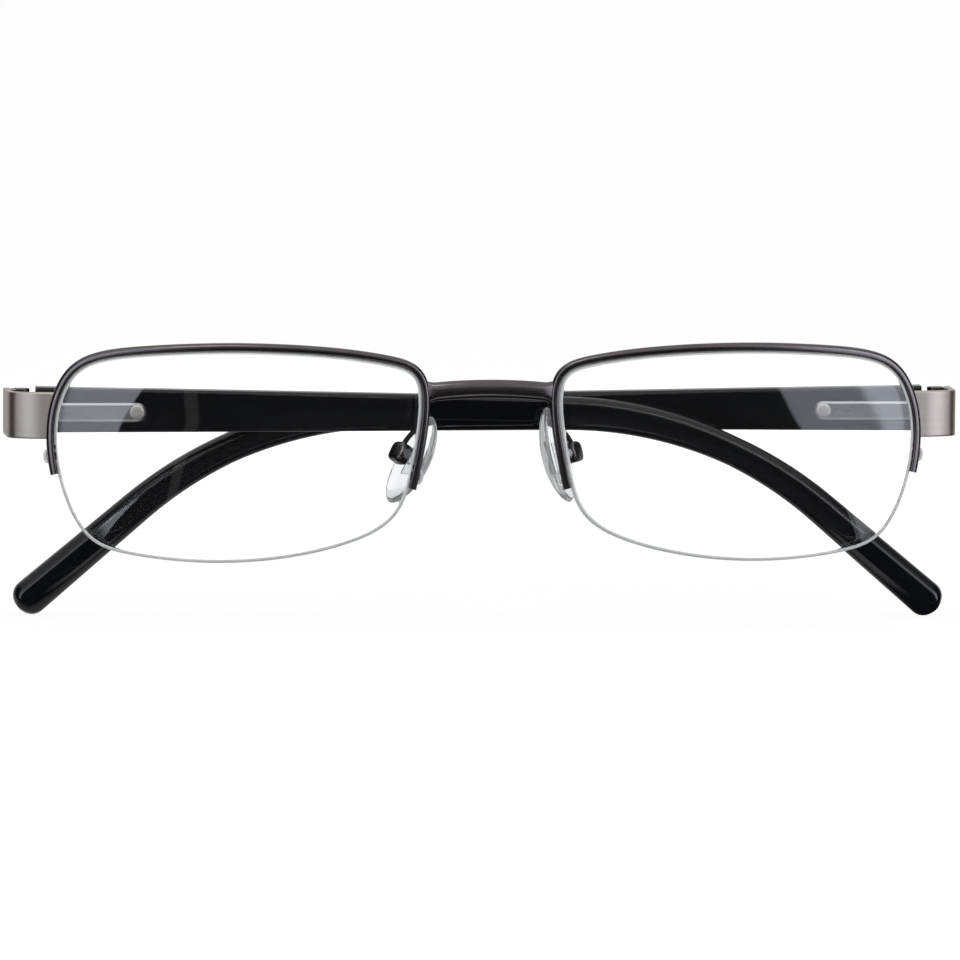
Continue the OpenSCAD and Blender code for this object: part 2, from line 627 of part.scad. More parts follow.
bridge();
rim("right");  // right_rim
end_piece("right");  // right_end_piece
front_hinge("right");  // right_front_hinge
lens("right");  // right_lens
liner("right");  // right_liner
lower_cord("right");  // right_lower_cord
pad_arm("right");  // right_pad_arm
pad_box("right");  // right_pad_box
pad_screw("right");  // right_pad_screw
nose_pad("right");  // right_nose_pad
pad_core("right");  // right_pad_core
hinge_screw("right");  // right_hinge_screw
hinge_tongue("right");  // right_hinge_tongue
spring_stop("right");  // right_spring_stop
hinge_spring("right");  // right_hinge_spring
spring_housing("right");  // right_spring_housing
housing_pin("right");  // right_housing_pin
temple("right");  // right_temple
rim("left");  // left_rim
end_piece("left");  // left_end_piece
front_hinge("left");  // left_front_hinge
lens("left");  // left_lens
liner("left");  // left_liner
lower_cord("left");  // left_lower_cord
pad_arm("left");  // left_pad_arm
pad_box("left");  // left_pad_box
pad_screw("left");  // left_pad_screw
nose_pad("left");  // left_nose_pad
pad_core("left");  // left_pad_core
hinge_screw("left");  // left_hinge_screw
hinge_tongue("left");  // left_hinge_tongue
spring_stop("left");  // left_spring_stop
hinge_spring("left");  // left_hinge_spring
spring_housing("left");  // left_spring_housing
housing_pin("left");  // left_housing_pin
temple("left");  // left_temple
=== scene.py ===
"""Folded reading glasses: a metal upper front, cord-held clear lenses and black temples on spring hinges.

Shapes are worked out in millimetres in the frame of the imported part: +X is the wearer's left, +Y runs
back from the lenses and +Z is up, with the origin in the middle of the nose gap.
"""

from types import SimpleNamespace

import bpy
import numpy as np
from bpy.props import FloatProperty, FloatVectorProperty, PointerProperty
from bpy.types import Operator, Panel, PropertyGroup
from mathutils import Matrix, Vector

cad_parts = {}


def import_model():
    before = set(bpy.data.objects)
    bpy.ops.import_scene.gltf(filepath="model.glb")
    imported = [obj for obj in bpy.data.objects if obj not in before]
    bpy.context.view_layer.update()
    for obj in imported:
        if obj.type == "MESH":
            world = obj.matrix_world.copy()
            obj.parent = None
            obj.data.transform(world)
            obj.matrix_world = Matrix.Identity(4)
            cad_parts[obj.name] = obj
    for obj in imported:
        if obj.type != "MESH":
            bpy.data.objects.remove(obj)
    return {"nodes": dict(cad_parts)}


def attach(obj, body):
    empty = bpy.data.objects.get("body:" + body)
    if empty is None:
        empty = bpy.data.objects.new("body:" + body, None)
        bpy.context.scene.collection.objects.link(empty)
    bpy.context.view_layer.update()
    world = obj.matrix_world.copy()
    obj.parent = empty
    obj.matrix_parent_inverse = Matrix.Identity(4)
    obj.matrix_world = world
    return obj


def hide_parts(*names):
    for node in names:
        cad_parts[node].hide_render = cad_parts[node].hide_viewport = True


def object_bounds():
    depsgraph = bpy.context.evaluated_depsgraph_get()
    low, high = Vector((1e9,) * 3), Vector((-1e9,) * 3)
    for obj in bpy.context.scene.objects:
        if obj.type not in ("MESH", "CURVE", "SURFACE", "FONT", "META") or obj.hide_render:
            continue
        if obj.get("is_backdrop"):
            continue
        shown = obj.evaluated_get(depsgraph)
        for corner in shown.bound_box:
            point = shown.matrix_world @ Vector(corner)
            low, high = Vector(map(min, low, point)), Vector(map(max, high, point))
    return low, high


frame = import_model()

bl_info = {
    "name": "Folded Reading Glasses",
    "version": (1, 0, 0),
    "blender": (4, 5, 0),
    "location": "View3D > Sidebar > Glasses",
    "description": "Builds the finish of a folded pair of semi-rimless reading glasses round its solid parts",
    "category": "Object",
}

MM = 0.001
SIDES = {"right": -1, "left": 1}
WHITE = (1.0, 1.0, 1.0)

# Lens outline: control points as fractions of the half width and half height, from the temple side
# over the top. A closed cubic spline runs near them, and t counts them along it.
OUTLINE = np.array([
    [1.01, 0.24], [0.97, 0.58], [0.86, 0.90], [0.49, 0.97], [0.01, 1.01], [-0.51, 0.97],
    [-0.84, 0.88], [-1.01, 0.79], [-1.00, 0.32], [-0.96, -0.05], [-0.90, -0.58], [-0.64, -0.82],
    [-0.24, -0.98], [0.20, -1.02], [0.61, -0.94], [0.84, -0.83], [0.98, -0.26],
])
SPANS = len(OUTLINE)
NOSE_SIDE = (7, 11)
TEMPLE_SIDE = (-2, 1)

# Fixed sizes in millimetres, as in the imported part
KNUCKLE_PLAY = 0.15
LEG_PAST_PIN = 0.7
HOUSING_PROUD = 0.5
HOUSING_DEPTH = 2.36
HOUSING_R = 1.35
HOUSING_RUN = 16.5
HOLE_R = 0.35
HOLES_FROM_SIDE_END = (1.9, 3.6)
HOLES_FROM_NOSE_END = (1.0, 2.7)
UPPER_CORD_R = 0.22
LOWER_CORD_R = 0.275
PAD_BOX_AT = (2.6, -8.1, 0.25)
PAD_OFF_BOX = 2.2
PAD_ARM_Z = 4.7
PAD_ARM_R = 0.38
SOLDER_SEAT = 0.25
START_DROOP = 0.4
BUTT_Z = 6.05

# Camera: turned and raised from straight in front and rolled, all in degrees, at this distance from
# its aim in millimetres, with the focal length and the aim's place in the picture in pixels
CAMERA_TURN = -6.416
CAMERA_RAISE = 5.125
CAMERA_ROLL = 0.43
CAMERA_FAR = 1300
CAMERA_AIM = (0, 0, 0.37)
PICTURE = 960
FOCAL_PIXELS = 8779
MIDDLE_PIXEL = (490.7, 454.8)


# ---------------- sizes and finishes a user may change


def length(name, mm, description):
    return FloatProperty(name=name, description=description, default=mm * MM,
                         unit="LENGTH", subtype="DISTANCE")


def angle(name, degrees, description):
    return FloatProperty(name=name, description=description, default=np.radians(degrees),
                         unit="ROTATION", subtype="ANGLE")


def colour(name, rgb, description):
    return FloatVectorProperty(name=name, description=description, default=rgb,
                               size=3, min=0, max=1, subtype="COLOR")


class FrontSizes(PropertyGroup):
    """Sizes of the lenses, the rim wires, the bridge and the end pieces."""

    lens_w: length("Lens width", 54, "Width of a lens")
    lens_h: length("Lens height", 31, "Height of a lens")
    lens_t: length("Lens thickness", 2, "Thickness of a lens")
    lens_r: length("Lens curve", 120, "Radius of a lens's front face")
    nose_gap: length("Nose gap", 20.9, "Gap between the two lenses")
    wrap: angle("Wrap", 5.7, "Angle by which each lens turns back")
    wire_w: length("Wire width", 1.2, "Width of the rim wire, seen from the front")
    wire_d: length("Wire depth", 1.5, "Depth of the rim wire")
    rim_gap: length("Rim gap", 0.17, "Gap between the lens edge and the wire")
    rim_nose_z: length("Wire end, nose", -4.55, "Height of the wire's nose end")
    rim_side_z: length("Wire end, temple", -2.75, "Height of the wire's temple end")
    bridge_z: length("Bridge height", 9.47, "Height of the bridge's ends")
    bridge_h: length("Bridge bar height", 2.75, "Height of the bridge bar")
    bridge_d: length("Bridge depth", 1.8, "Depth of the bridge bar")
    bridge_rise: length("Bridge rise", 0.6, "Rise of the bridge's arch")
    bridge_bow: length("Bridge bow", 0.5, "Forward bow of the bridge's middle")
    plate_t: length("Plate thickness", 1, "Thickness of the end pieces' plate")
    plate_h: length("Plate height", 6.9, "Height of the end pieces' plate")
    corner_r: length("Corner radius", 2.2, "Outer radius of the end pieces' corners")
    crown_r: length("Crown radius", 12, "Radius of the end pieces' crowned front")


class TempleSizes(PropertyGroup):
    """Sizes of the hinges and the temples."""

    hinge_side: length("Hinge reach", 4.65, "Distance of each hinge pin outside the lens")
    hinge_y: length("Hinge depth", 14, "Distance of the hinge pins behind the lenses")
    hinge_z: length("Hinge height", 5.75, "Height of the middle of the hinges")
    knuckle_r: length("Knuckle radius", 1.3, "Radius of the front's knuckles")
    butt_gap: length("Butt gap", 0.2, "Gap between the open temple and the end piece")
    splay: angle("Splay", 2, "Outward angle of the open temples")
    fold_lean: angle("Fold lean", 1.6, "Lean of the folded temples from square")
    straight: length("Straight length", 79.3, "Length of a temple's straight stretch")
    ear_r: length("Ear bend radius", 60, "Radius of the bend over the ear")
    ear_angle: angle("Ear bend angle", 40, "Angle of the bend over the ear")
    tip_run: length("Tip length", 23.4, "Length of the tip behind the bend")
    temple_t: length("Temple thickness", 3.4, "Thickness of a temple")
    butt_h: length("Butt height", 6.75, "Height of a temple at the hinge")
    waist_h: length("Waist height", 4.4, "Height of a temple at its waist")
    tip_h: length("Tip height", 5.5, "Height of a temple at its tip")


class PadSizes(PropertyGroup):
    """Sizes of the nose pads and their boxes."""

    pad_l: length("Pad length", 14.5, "Length of a nose pad")
    pad_w: length("Pad width", 7.2, "Width of a nose pad")
    pad_t: length("Pad thickness", 1.8, "Thickness of a nose pad")
    pad_splay: angle("Pad splay", 32, "Spread of the pads from front to back")
    right_slant: angle("Right slant", 31.5, "Inward tilt of the wearer's right pad")
    left_slant: angle("Left slant", 16, "Inward tilt of the wearer's left pad")
    box_w: length("Box width", 3, "Width of a pad box")
    box_h: length("Box height", 3.1, "Height of a pad box")
    box_d: length("Box depth", 2, "Depth of a pad box")


class Finishes(PropertyGroup):
    """Colours of the finishes."""

    gunmetal: colour("Gunmetal", (0.132, 0.119, 0.120), "Plated wires, bridge and pad arms")
    plate: colour("Brushed plate", (0.53, 0.482, 0.437), "Brushed end pieces")
    steel: colour("Steel", (0.62, 0.62, 0.64), "Housings, pins and screws")
    temple: colour("Temple black", (0.003, 0.0035, 0.005), "Polished temples")
    cord: colour("Cord", (0.72, 0.74, 0.75), "Nylon cords")
    pad: colour("Pad", (0.96, 0.98, 1.0), "Clear nose pads")


def sizes():
    """All sizes as plain numbers, with what follows from them: millimetres and radians."""
    s = SimpleNamespace()
    scene = bpy.context.scene
    for group in (scene.glasses_front, scene.glasses_temples, scene.glasses_pads):
        for name, kind in type(group).__annotations__.items():
            value = getattr(group, name)
            is_length = kind.keywords.get("unit") == "LENGTH"
            setattr(s, name, value / MM if is_length else value)
    raw = spline(np.arange(0, SPANS, 0.2))
    s.low, s.high = raw.min(0), raw.max(0)
    s.scale = np.array([s.lens_w, s.lens_h]) / (s.high - s.low)
    s.ball_y = np.sqrt(s.lens_r ** 2 - s.lens_w ** 2 / 4)
    s.rim_outer = s.rim_gap + s.wire_w
    s.t_side = t_at_height(s, s.rim_side_z, *TEMPLE_SIDE)
    s.t_nose = t_at_height(s, s.rim_nose_z, *NOSE_SIDE)
    s.hinge_x = s.nose_gap / 2 + s.lens_w * np.cos(s.wrap) + s.hinge_side
    s.hinge_out = s.knuckle_r + KNUCKLE_PLAY + s.plate_t
    s.wall_end = s.knuckle_r + LEG_PAST_PIN
    s.butt_s = s.wall_end + s.butt_gap
    s.inner_face = s.hinge_out - s.temple_t
    s.housing_out = s.inner_face - HOUSING_PROUD
    s.housing_in = s.housing_out + HOUSING_DEPTH
    s.pin_s = s.butt_s + HOUSING_RUN - HOUSING_R
    s.plate_low = s.hinge_z - s.plate_h / 2
    s.pad_box = np.array([s.nose_gap / 2, s.hinge_y, 0]) + PAD_BOX_AT
    s.pad_reach = s.pad_t / 2 + PAD_OFF_BOX
    return s


# ---------------- curves


def around(count):
    """Angles evenly round a circle."""
    return np.linspace(0, 2 * np.pi, count, endpoint=False)


def xyz(*parts):
    """Coordinates side by side, each given by a number or an array."""
    return np.stack(np.broadcast_arrays(*parts), -1)


def spline(t, slope=False):
    """Closed uniform cubic B-spline over OUTLINE: the four nearest control points, weighted by the cubic
    basis of t's fraction, or by its derivative for the slope."""
    t = np.asarray(t, float)
    f = t - np.floor(t)
    if slope:
        weights = [-(1 - f) ** 2, 3 * f ** 2 - 4 * f, -3 * f ** 2 + 2 * f + 1, f ** 2]
        share = 2
    else:
        weights = [(1 - f) ** 3, 3 * f ** 3 - 6 * f ** 2 + 4,
                   -3 * f ** 3 + 3 * f ** 2 + 3 * f + 1, f ** 3]
        share = 6
    first = np.floor(t).astype(int) - 1
    return sum(w[..., None] * OUTLINE[(first + k) % SPANS] for k, w in enumerate(weights)) / share


def edge(s, t, out=0.0):
    """Points of the lens edge, moved outwards along the edge's normal."""
    p = (spline(t) - (s.low + s.high) / 2) * s.scale
    way = spline(t, True) * s.scale
    normal = xyz(way[..., 1], -way[..., 0]) / np.linalg.norm(way, axis=-1, keepdims=True)
    return p + np.asarray(out)[..., None] * normal


def t_at_height(s, z, low, high):
    """The t between low and high at which the lens edge passes a height, read off a fine table."""
    t = np.linspace(low, high, 4001)
    return t[np.abs(edge(s, t)[:, 1] - z).argmin()]


def t_step(s, t, distance):
    """Change of t that moves a point by this distance along the edge."""
    return distance / np.linalg.norm(spline(t, True) * s.scale)


def rim_points(s, t, out, back):
    """Points off the lens edge in the lens's own frame. The middle of the edge's thickness lies on a ball
    round the lens's centre of curvature: out runs from the edge in the ball's tangent plane, and back
    runs square to it, so that a wire's face leans outwards as the lens does."""
    e = edge(s, t)
    away = edge(s, t, np.ones(np.shape(t))) - e
    r = s.lens_r - s.lens_t / 2
    deep = np.sqrt(r ** 2 - (e ** 2).sum(-1))
    back_way = xyz(-e[..., 0], deep, -e[..., 1]) / r
    flat_way = xyz(away[..., 0], 0, away[..., 1])
    out_way = flat_way - (flat_way * back_way).sum(-1, keepdims=True) * back_way
    out_way /= np.linalg.norm(out_way, axis=-1, keepdims=True)
    middle = xyz(e[..., 0], s.ball_y - deep, e[..., 1])
    return middle + np.asarray(out)[..., None] * out_way + np.asarray(back)[..., None] * back_way


def on_side(points, side):
    """Points of the wearer's left half, mirrored for the right one."""
    return points * np.array([SIDES[side], 1, 1])


def turned(points, a):
    """Points turned about +Z by the angle a."""
    c, n = np.cos(a), np.sin(a)
    return points @ np.array([[c, n, 0], [-n, c, 0], [0, 0, 1]])


def lens_frame(s, points, side):
    """From the lens's frame: its middle is the origin, X runs outwards and Y back from its front."""
    return on_side(turned(points + [s.lens_w / 2, 0, 0], s.wrap) + [s.nose_gap / 2, 0, 0], side)


def off_left_lens(s, t, out, back=0.0):
    """Points off the left lens's edge in the part's own frame."""
    return lens_frame(s, rim_points(s, t, out, back), "left")


def open_frame(s, points, side):
    """From the hinge's frame with the temple open: X outwards, Y back along the temple."""
    return on_side(turned(points, -s.splay) + [s.hinge_x, s.hinge_y, 0], side)


def temple_frame(s, points, side):
    """From the temple's frame, folded: it runs along -X from the pin, with its outer face towards +Y."""
    lean = s.fold_lean if side == "right" else -s.fold_lean
    return on_side(turned(points, lean) + [s.hinge_x, s.hinge_y, 0], side)


def pad_frame(s, points, side):
    """From the pad's frame: its screw runs along Y and the pad lies at -X, towards the nose."""
    a = s.right_slant if side == "right" else s.left_slant
    c, n = np.cos(a), np.sin(a)
    tilted = points @ np.array([[c, 0, n], [0, 1, 0], [-n, 0, c]])
    return on_side(turned(tilted, -s.pad_splay) + s.pad_box, side)


def fillet(corners, radii, n=6):
    """A loop with round corners: at each right-angled corner a quarter circle of that radius, tangent to
    both sides."""
    p = np.asarray(corners, float)
    r = np.broadcast_to(np.asarray(radii, float), len(p))[:, None, None]
    to_last, to_next = np.roll(p, 1, 0) - p, np.roll(p, -1, 0) - p
    a = (to_last / np.linalg.norm(to_last, axis=1, keepdims=True))[:, None]
    b = (to_next / np.linalg.norm(to_next, axis=1, keepdims=True))[:, None]
    q = np.linspace(0, np.pi / 2, n)[None, :, None]
    return (p[:, None] + r * (a + b) - r * (b * np.cos(q) + a * np.sin(q))).reshape(-1, 2)


def smooth(points, n=6):
    """A Catmull-Rom curve through the points, n steps from each to the next."""
    p = np.asarray(points, float)
    p = np.vstack([2 * p[0] - p[1], p, 2 * p[-1] - p[-2]])
    f = np.linspace(0, 1, n, endpoint=False)[None, :, None]
    a, b, c, d = (p[k:len(p) - 3 + k][:, None] for k in range(4))
    q = 0.5 * (2 * b + (c - a) * f + (2 * a - 5 * b + 4 * c - d) * f ** 2 + (3 * b - a - 3 * c + d) * f ** 3)
    return np.vstack([q.reshape(-1, 3), p[-2:-1]])


def tube(path, radius, side_way, sides=14):
    """Rings of a round tube along a path: at each point a circle across the path's direction, which
    starts on the side given by side_way."""
    way = np.gradient(path, axis=0)
    way /= np.linalg.norm(way, axis=1, keepdims=True)
    up = np.broadcast_to(np.asarray(side_way, float), path.shape)
    a = up - (up * way).sum(1, keepdims=True) * way
    a /= np.linalg.norm(a, axis=1, keepdims=True)
    b = np.cross(way, a)
    q = around(sides)[None, :, None]
    r = np.broadcast_to(np.asarray(radius, float), len(path))[:, None, None]
    return path[:, None] + r * (np.cos(q) * a[:, None] + np.sin(q) * b[:, None])


# ---------------- meshes and pieces


def shell(name, rows, sharp=35):
    """A closed skin over rows of points in millimetres: four-sided faces join each point to the next in
    its row, which closes on itself, and to the next row, and one face closes each end. It is turned the
    right way out if its volume comes out negative."""
    rows = np.asarray(rows, float)
    m, n = rows.shape[:2]
    index = np.arange(m * n).reshape(m, n)
    beside = np.roll(index, -1, 1)
    quads = np.stack([index[:-1], beside[:-1], beside[1:], index[1:]], -1).reshape(-1, 4)
    caps = [index[0, ::-1], index[-1]]
    p = rows.reshape(-1, 3)
    fans = [np.stack([np.full(n - 2, c[0]), c[1:-1], c[2:]], -1) for c in caps]
    triangles = np.vstack([quads[:, [0, 1, 2]], quads[:, [0, 2, 3]], *fans])
    a, b, c = (p[triangles[:, k]] for k in range(3))
    faces = quads.tolist() + [c_.tolist() for c_ in caps]
    if np.einsum("ij,ij->", a, np.cross(b, c)) < 0:
        faces = [f[::-1] for f in faces]
    mesh = bpy.data.meshes.new(name)
    mesh.from_pydata((p * MM).tolist(), [], faces)
    mesh.validate()
    mesh.polygons.foreach_set("use_smooth", np.ones(len(mesh.polygons), bool))
    mesh.set_sharp_from_angle(angle=np.radians(sharp))
    piece = bpy.data.objects.new(name, mesh)
    bpy.context.scene.collection.objects.link(piece)
    return piece


def cut(piece, cutter):
    """Takes the cutter's form out of a piece's mesh."""
    change = piece.modifiers.new("cut", "BOOLEAN")
    change.operation, change.object, change.solver = "DIFFERENCE", cutter, "EXACT"
    bpy.context.view_layer.update()
    solved = bpy.data.meshes.new_from_object(piece.evaluated_get(bpy.context.evaluated_depsgraph_get()))
    piece.modifiers.clear()
    old, piece.data = piece.data, solved
    solved.name = piece.name
    bpy.data.meshes.remove(old)
    bpy.data.objects.remove(cutter)


def paint(piece, look):
    """Gives a piece one finish."""
    piece.data.materials.clear()
    piece.data.materials.append(finish(look))


def place(piece, body, slot, look, *nodes):
    """Gives a piece its finish and its body, and hides the imported nodes that it stands for. Its slot is not
    used.
    """
    paint(piece, look)
    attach(piece, body)
    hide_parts(*nodes)


def dress(side, look, *parts):
    """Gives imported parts, whose shapes stay, their finish."""
    for part in parts:
        paint(frame["nodes"][f"{side}_{part}"], look)


# ---------------- shader nodes


class Value:
    """A number socket. Each Python operation on it adds its Math node."""

    def __init__(self, shader, socket):
        self.shader, self.socket = shader, socket

    def __add__(self, other):
        return self.shader.math("ADD", self, other)

    def __sub__(self, other):
        return self.shader.math("SUBTRACT", self, other)

    def __rsub__(self, other):
        return self.shader.math("SUBTRACT", other, self)

    def __mul__(self, other):
        return self.shader.math("MULTIPLY", self, other)

    def clamp(self):
        return self.shader.math("MINIMUM", self.shader.math("MAXIMUM", self, 0.0), 1.0)


class Shader:
    """A node tree that is filled by calls."""

    def __init__(self, tree):
        self.tree = tree
        tree.nodes.clear()

    def node(self, kind, values=None, output=0, **settings):
        """Adds one node: its settings first, then the values or links of its sockets. Gives an output."""
        made = self.tree.nodes.new(kind)
        for name, setting in settings.items():
            setattr(made, name, setting)
        for name, value in (values or {}).items():
            self.set(made.inputs[name], value)
        return None if output is None else Value(self, made.outputs[output])

    def set(self, socket, value):
        """Links a value to a socket, or sets the socket's own value."""
        if isinstance(value, Value):
            self.tree.links.new(value.socket, socket)
        elif isinstance(value, (tuple, list)) and len(value) == 3 and len(socket.default_value) == 4:
            socket.default_value = (*value, 1)
        else:
            socket.default_value = value

    def noise(self, scale, detail=3.0, harsh=0.5, stretch=(1, 1, 1)):
        """Noise over object coordinates in millimetres, scaled along each axis. harsh is its roughness."""
        here = self.node("ShaderNodeTexCoord", output="Object")
        place = self.node("ShaderNodeMapping", {"Vector": here, "Scale": tuple(k / MM for k in stretch)})
        return self.node("ShaderNodeTexNoise", {
            "Vector": place, "Scale": scale, "Detail": detail, "Roughness": harsh})

    def blend(self, mask, a, b):
        """A colour between two colours."""
        return self.node("ShaderNodeMix", {0: mask, 6: a, 7: b}, 2, data_type="RGBA")

    def bump(self, height, strength, distance):
        return self.node("ShaderNodeBump", {
            "Height": height, "Strength": strength, "Distance": distance * MM})

    def axis(self, vector, k):
        return self.node("ShaderNodeSeparateXYZ", {0: vector}, k)

    def rise(self, value, low, high):
        """From 0 at low to 1 at high, eased."""
        limits = {"Value": value, "From Min": low, "From Max": high}
        return self.node("ShaderNodeMapRange", limits, interpolation_type="SMOOTHSTEP")

    def fall(self, value, low, high):
        """From 1 at low to 0 at high, eased."""
        return 1 - self.rise(value, low, high)

    def math(self, operation, *values):
        return self.node("ShaderNodeMath", dict(enumerate(values)), operation=operation)

    def larger(self, a, b):
        return self.math("MAXIMUM", a, b)

    def rays(self):
        """Whether a ray comes from the camera, from a reflection or through clear stuff, and whether it
        has been reflected before."""
        kinds = [self.node("ShaderNodeLightPath", output=name)
                 for name in ("Is Camera Ray", "Is Glossy Ray", "Is Transmission Ray", "Glossy Depth")]
        kinds[1] = kinds[1] * (1 - kinds[2])
        kinds[3] = self.math("GREATER_THAN", kinds[3], 0.5)
        return kinds


# Each finish: the colour in the panel that it starts from, or white, its darkest and lightest share of
# that, the grain's noise, how far the roughness follows it and the rest, the bump's strength and height,
# and the shader's own values. Where there is a cloud, the tone follows that noise by its share.
FINISHES = {
    # Polished dark plating: a faint cloud, and fine drawing lines that blur its shine
    "gunmetal": dict(of="gunmetal", dark=0.8, light=1.25, scale=1.4, detail=4, stretch=(0.5, 4, 4),
        cloud=dict(scale=0.35), roughness=(0.1, 0.16), bump=(0.06, 0.02), Metallic=1.0),
    # Satin plate: streaks that are fine across it and long along it
    "brushed_plate": dict(of="plate", dark=0.84, light=1.16,
        scale=1.6, detail=4, harsh=0.6, stretch=(0.05, 0.05, 6.0),
        cloud=dict(scale=1.0, stretch=(0.05, 0.05, 1.2)), cloud_share=0.3,
        roughness=(0.08, 0.35), bump=(0.5, 0.02), Metallic=1.0),
    # Bright satin steel with a soft grain
    "satin_steel": dict(of="steel", dark=0.9, light=1.1, scale=1.2, detail=4, stretch=(0.3, 3, 3),
        roughness=(0.1, 0.24), bump=(0.08, 0.01), Metallic=1.0),
    # Turned steel of screws and springs
    "bright_steel": dict(of="steel", dark=1.08, light=1.26, scale=3.0, roughness=(0.1, 0.12), Metallic=1.0),
    # Warm matt steel of the housing pin's turned face
    "pin_steel": dict(of="steel", dark=(1.1, 1.056, 0.9504), light=(1.3125, 1.26, 1.134),
        scale=4.0, detail=4, roughness=(0.15, 0.42), bump=(0.1, 0.01), Metallic=1.0),
    # Polished black plastic, with a trace of haze in its shine
    "temple_black": dict(of="temple", dark=0.85, light=1.3,
        scale=0.5, detail=4, stretch=(0.25, 1, 1), roughness=(0.02, 0.01), IOR=1.5),
    # Clear polished lens, with a trace of cleaning haze
    "clear_lens": dict(dark=(0.985, 0.992, 0.995), light=1.0, scale=0.08, detail=2,
        roughness=(0.01, 0.0), IOR=1.5, Transmission_Weight=1.0),
    # Ground lens edge: frosted clear plastic with fine grinding marks
    "ground_edge": dict(dark=(0.84, 0.86, 0.87), light=(0.93, 0.95, 0.96), scale=2.5, detail=4,
        roughness=(0.2, 0.3), bump=(0.1, 0.02), IOR=1.5, Transmission_Weight=0.4),
    # Soft pad: slightly blue, with a skin that isn't quite even
    "clear_pad": dict(of="pad", dark=0.95, light=1.0, scale=0.5,
        roughness=(0.08, 0.03), bump=(0.15, 0.1), IOR=1.36, Transmission_Weight=0.9),
    # Drawn nylon: milky and glossy
    "nylon": dict(of="cord", dark=0.92, light=1.08, scale=0.6,
        roughness=(0.1, 0.18), IOR=1.53, Transmission_Weight=0.25),
}


def make_finish(name, dark, light, roughness, scale, detail=3.0, harsh=0.5, stretch=(1, 1, 1), of=None,
                bump=None, cloud=None, cloud_share=1.0, **constants):
    """A Principled material from one entry of the table."""
    made = bpy.data.materials.new(name)
    made.use_nodes = True
    tree = Shader(made.node_tree)
    noise = tree.noise(scale, detail, harsh, stretch)
    tone = noise * (1 - cloud_share) + tree.noise(**cloud) * cloud_share if cloud else noise
    rgb = getattr(bpy.context.scene.glasses_finishes, of) if of else WHITE
    dark, light = (tuple(np.clip(np.multiply(rgb, share), 0, 1).tolist()) for share in (dark, light))
    values = {"Base Color": tree.blend(tone, dark, light), "Roughness": noise * roughness[0] + roughness[1],
              **{socket.replace("_", " "): value for socket, value in constants.items()}}
    if bump:
        values["Normal"] = tree.bump(noise, *bump)
    shader = tree.node("ShaderNodeBsdfPrincipled", values)
    tree.node("ShaderNodeOutputMaterial", {"Surface": shader}, None)
    return made


def finish(name):
    """The finish of that name, made once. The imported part's own materials have plainer names."""
    own = f"glasses_{name}"
    return bpy.data.materials.get(own) or make_finish(own, **FINISHES[name])


# ---------------- pieces


def hole_places(s):
    """The t of the four cord holes in a rim wire: two near its temple end, two near its nose end."""
    side, nose = s.t_side, s.t_nose
    return ([side + t_step(s, side, run) for run in HOLES_FROM_SIDE_END]
            + [nose - t_step(s, nose, run) for run in HOLES_FROM_NOSE_END])


def make_rim(s, side):
    """Rim wire: a C section, open to the lens, carried along the lens edge from end to end. Its depth
    falls off by a parabola towards both sides, which crowns its face."""
    w, d = s.wire_w, s.wire_d / 2
    slot_w, slot_d = 0.3, 0.32
    inner_r, outer_r, slot_r, steps = 0.2, 0.5, 0.06, 9
    crown = 0.11
    drill_run = (-0.6, 2.2)
    section = fillet([(0, -d), (w, -d), (w, d), (0, d),
                      (0, slot_d), (slot_w, slot_d), (slot_w, -slot_d), (0, -slot_d)],
                     [inner_r, outer_r, outer_r, inner_r] + 4 * [slot_r], steps)
    face = np.linspace(inner_r, w - outer_r, 8)[1:-1]
    section = np.insert(section, steps, xyz(face, -d), 0)
    section[:, 1] *= 1 - crown * (2 * section[:, 0] / w - 1) ** 2
    t = np.linspace(s.t_side, s.t_nose, 300)
    rows = rim_points(s, t[:, None], (s.rim_gap + section[:, 0])[None], section[:, 1][None])
    piece = shell(f"{side}_rim_wire", lens_frame(s, rows, side))
    reach = np.linspace(*drill_run, 9)
    for k, t_hole in enumerate(hole_places(s)):
        drill = tube(rim_points(s, t_hole, reach, 0.0), HOLE_R, (0, 1, 0), 20)
        cut(piece, shell(f"{side}_drill_{k}", lens_frame(s, drill, side)))
    place(piece, "front", "gunmetal", "gunmetal", f"{side}_rim")


def make_bridge(s):
    """Bridge: a pillow section carried from rim to rim along an arch that rises and bows forward by the
    square of the distance from its ends, higher and thinner where it is soldered on."""
    pillow = 0.72
    flare_run, flare_h, flare_d = 1.7, 0.55, 0.22
    front_in, front_slope = 0.88, 0.12
    sunk = 0.5
    f = np.linspace(-1, 1, 121)[:, None]
    q = around(48)[None]
    t_end = t_at_height(s, s.bridge_z, *NOSE_SIDE)
    root = off_left_lens(s, t_end, s.rim_outer)
    arch = 1 - f ** 2
    near_end = np.clip((np.abs(f) * root[0] - root[0] + flare_run) / flare_run, 0, 1) ** 2
    across = np.sign(np.cos(q)) * np.abs(np.cos(q)) ** pillow
    up = np.sign(np.sin(q)) * np.abs(np.sin(q)) ** pillow
    h = s.bridge_h / 2 + flare_h * near_end
    d = s.bridge_d / 2 - flare_d * near_end
    z = s.bridge_z + s.bridge_rise * arch + up * h
    y = root[1] - s.bridge_bow * arch - across * d * np.where(across > 0, front_in - front_slope * up, 1)
    wire = off_left_lens(s, np.linspace(*NOSE_SIDE, 400), s.rim_outer - sunk)
    reach = np.interp(-z, -wire[:, 2], wire[:, 0])
    piece = shell("bridge_bar", xyz(f * reach, y, z))
    place(piece, "front", "gunmetal", "gunmetal", "bridge")


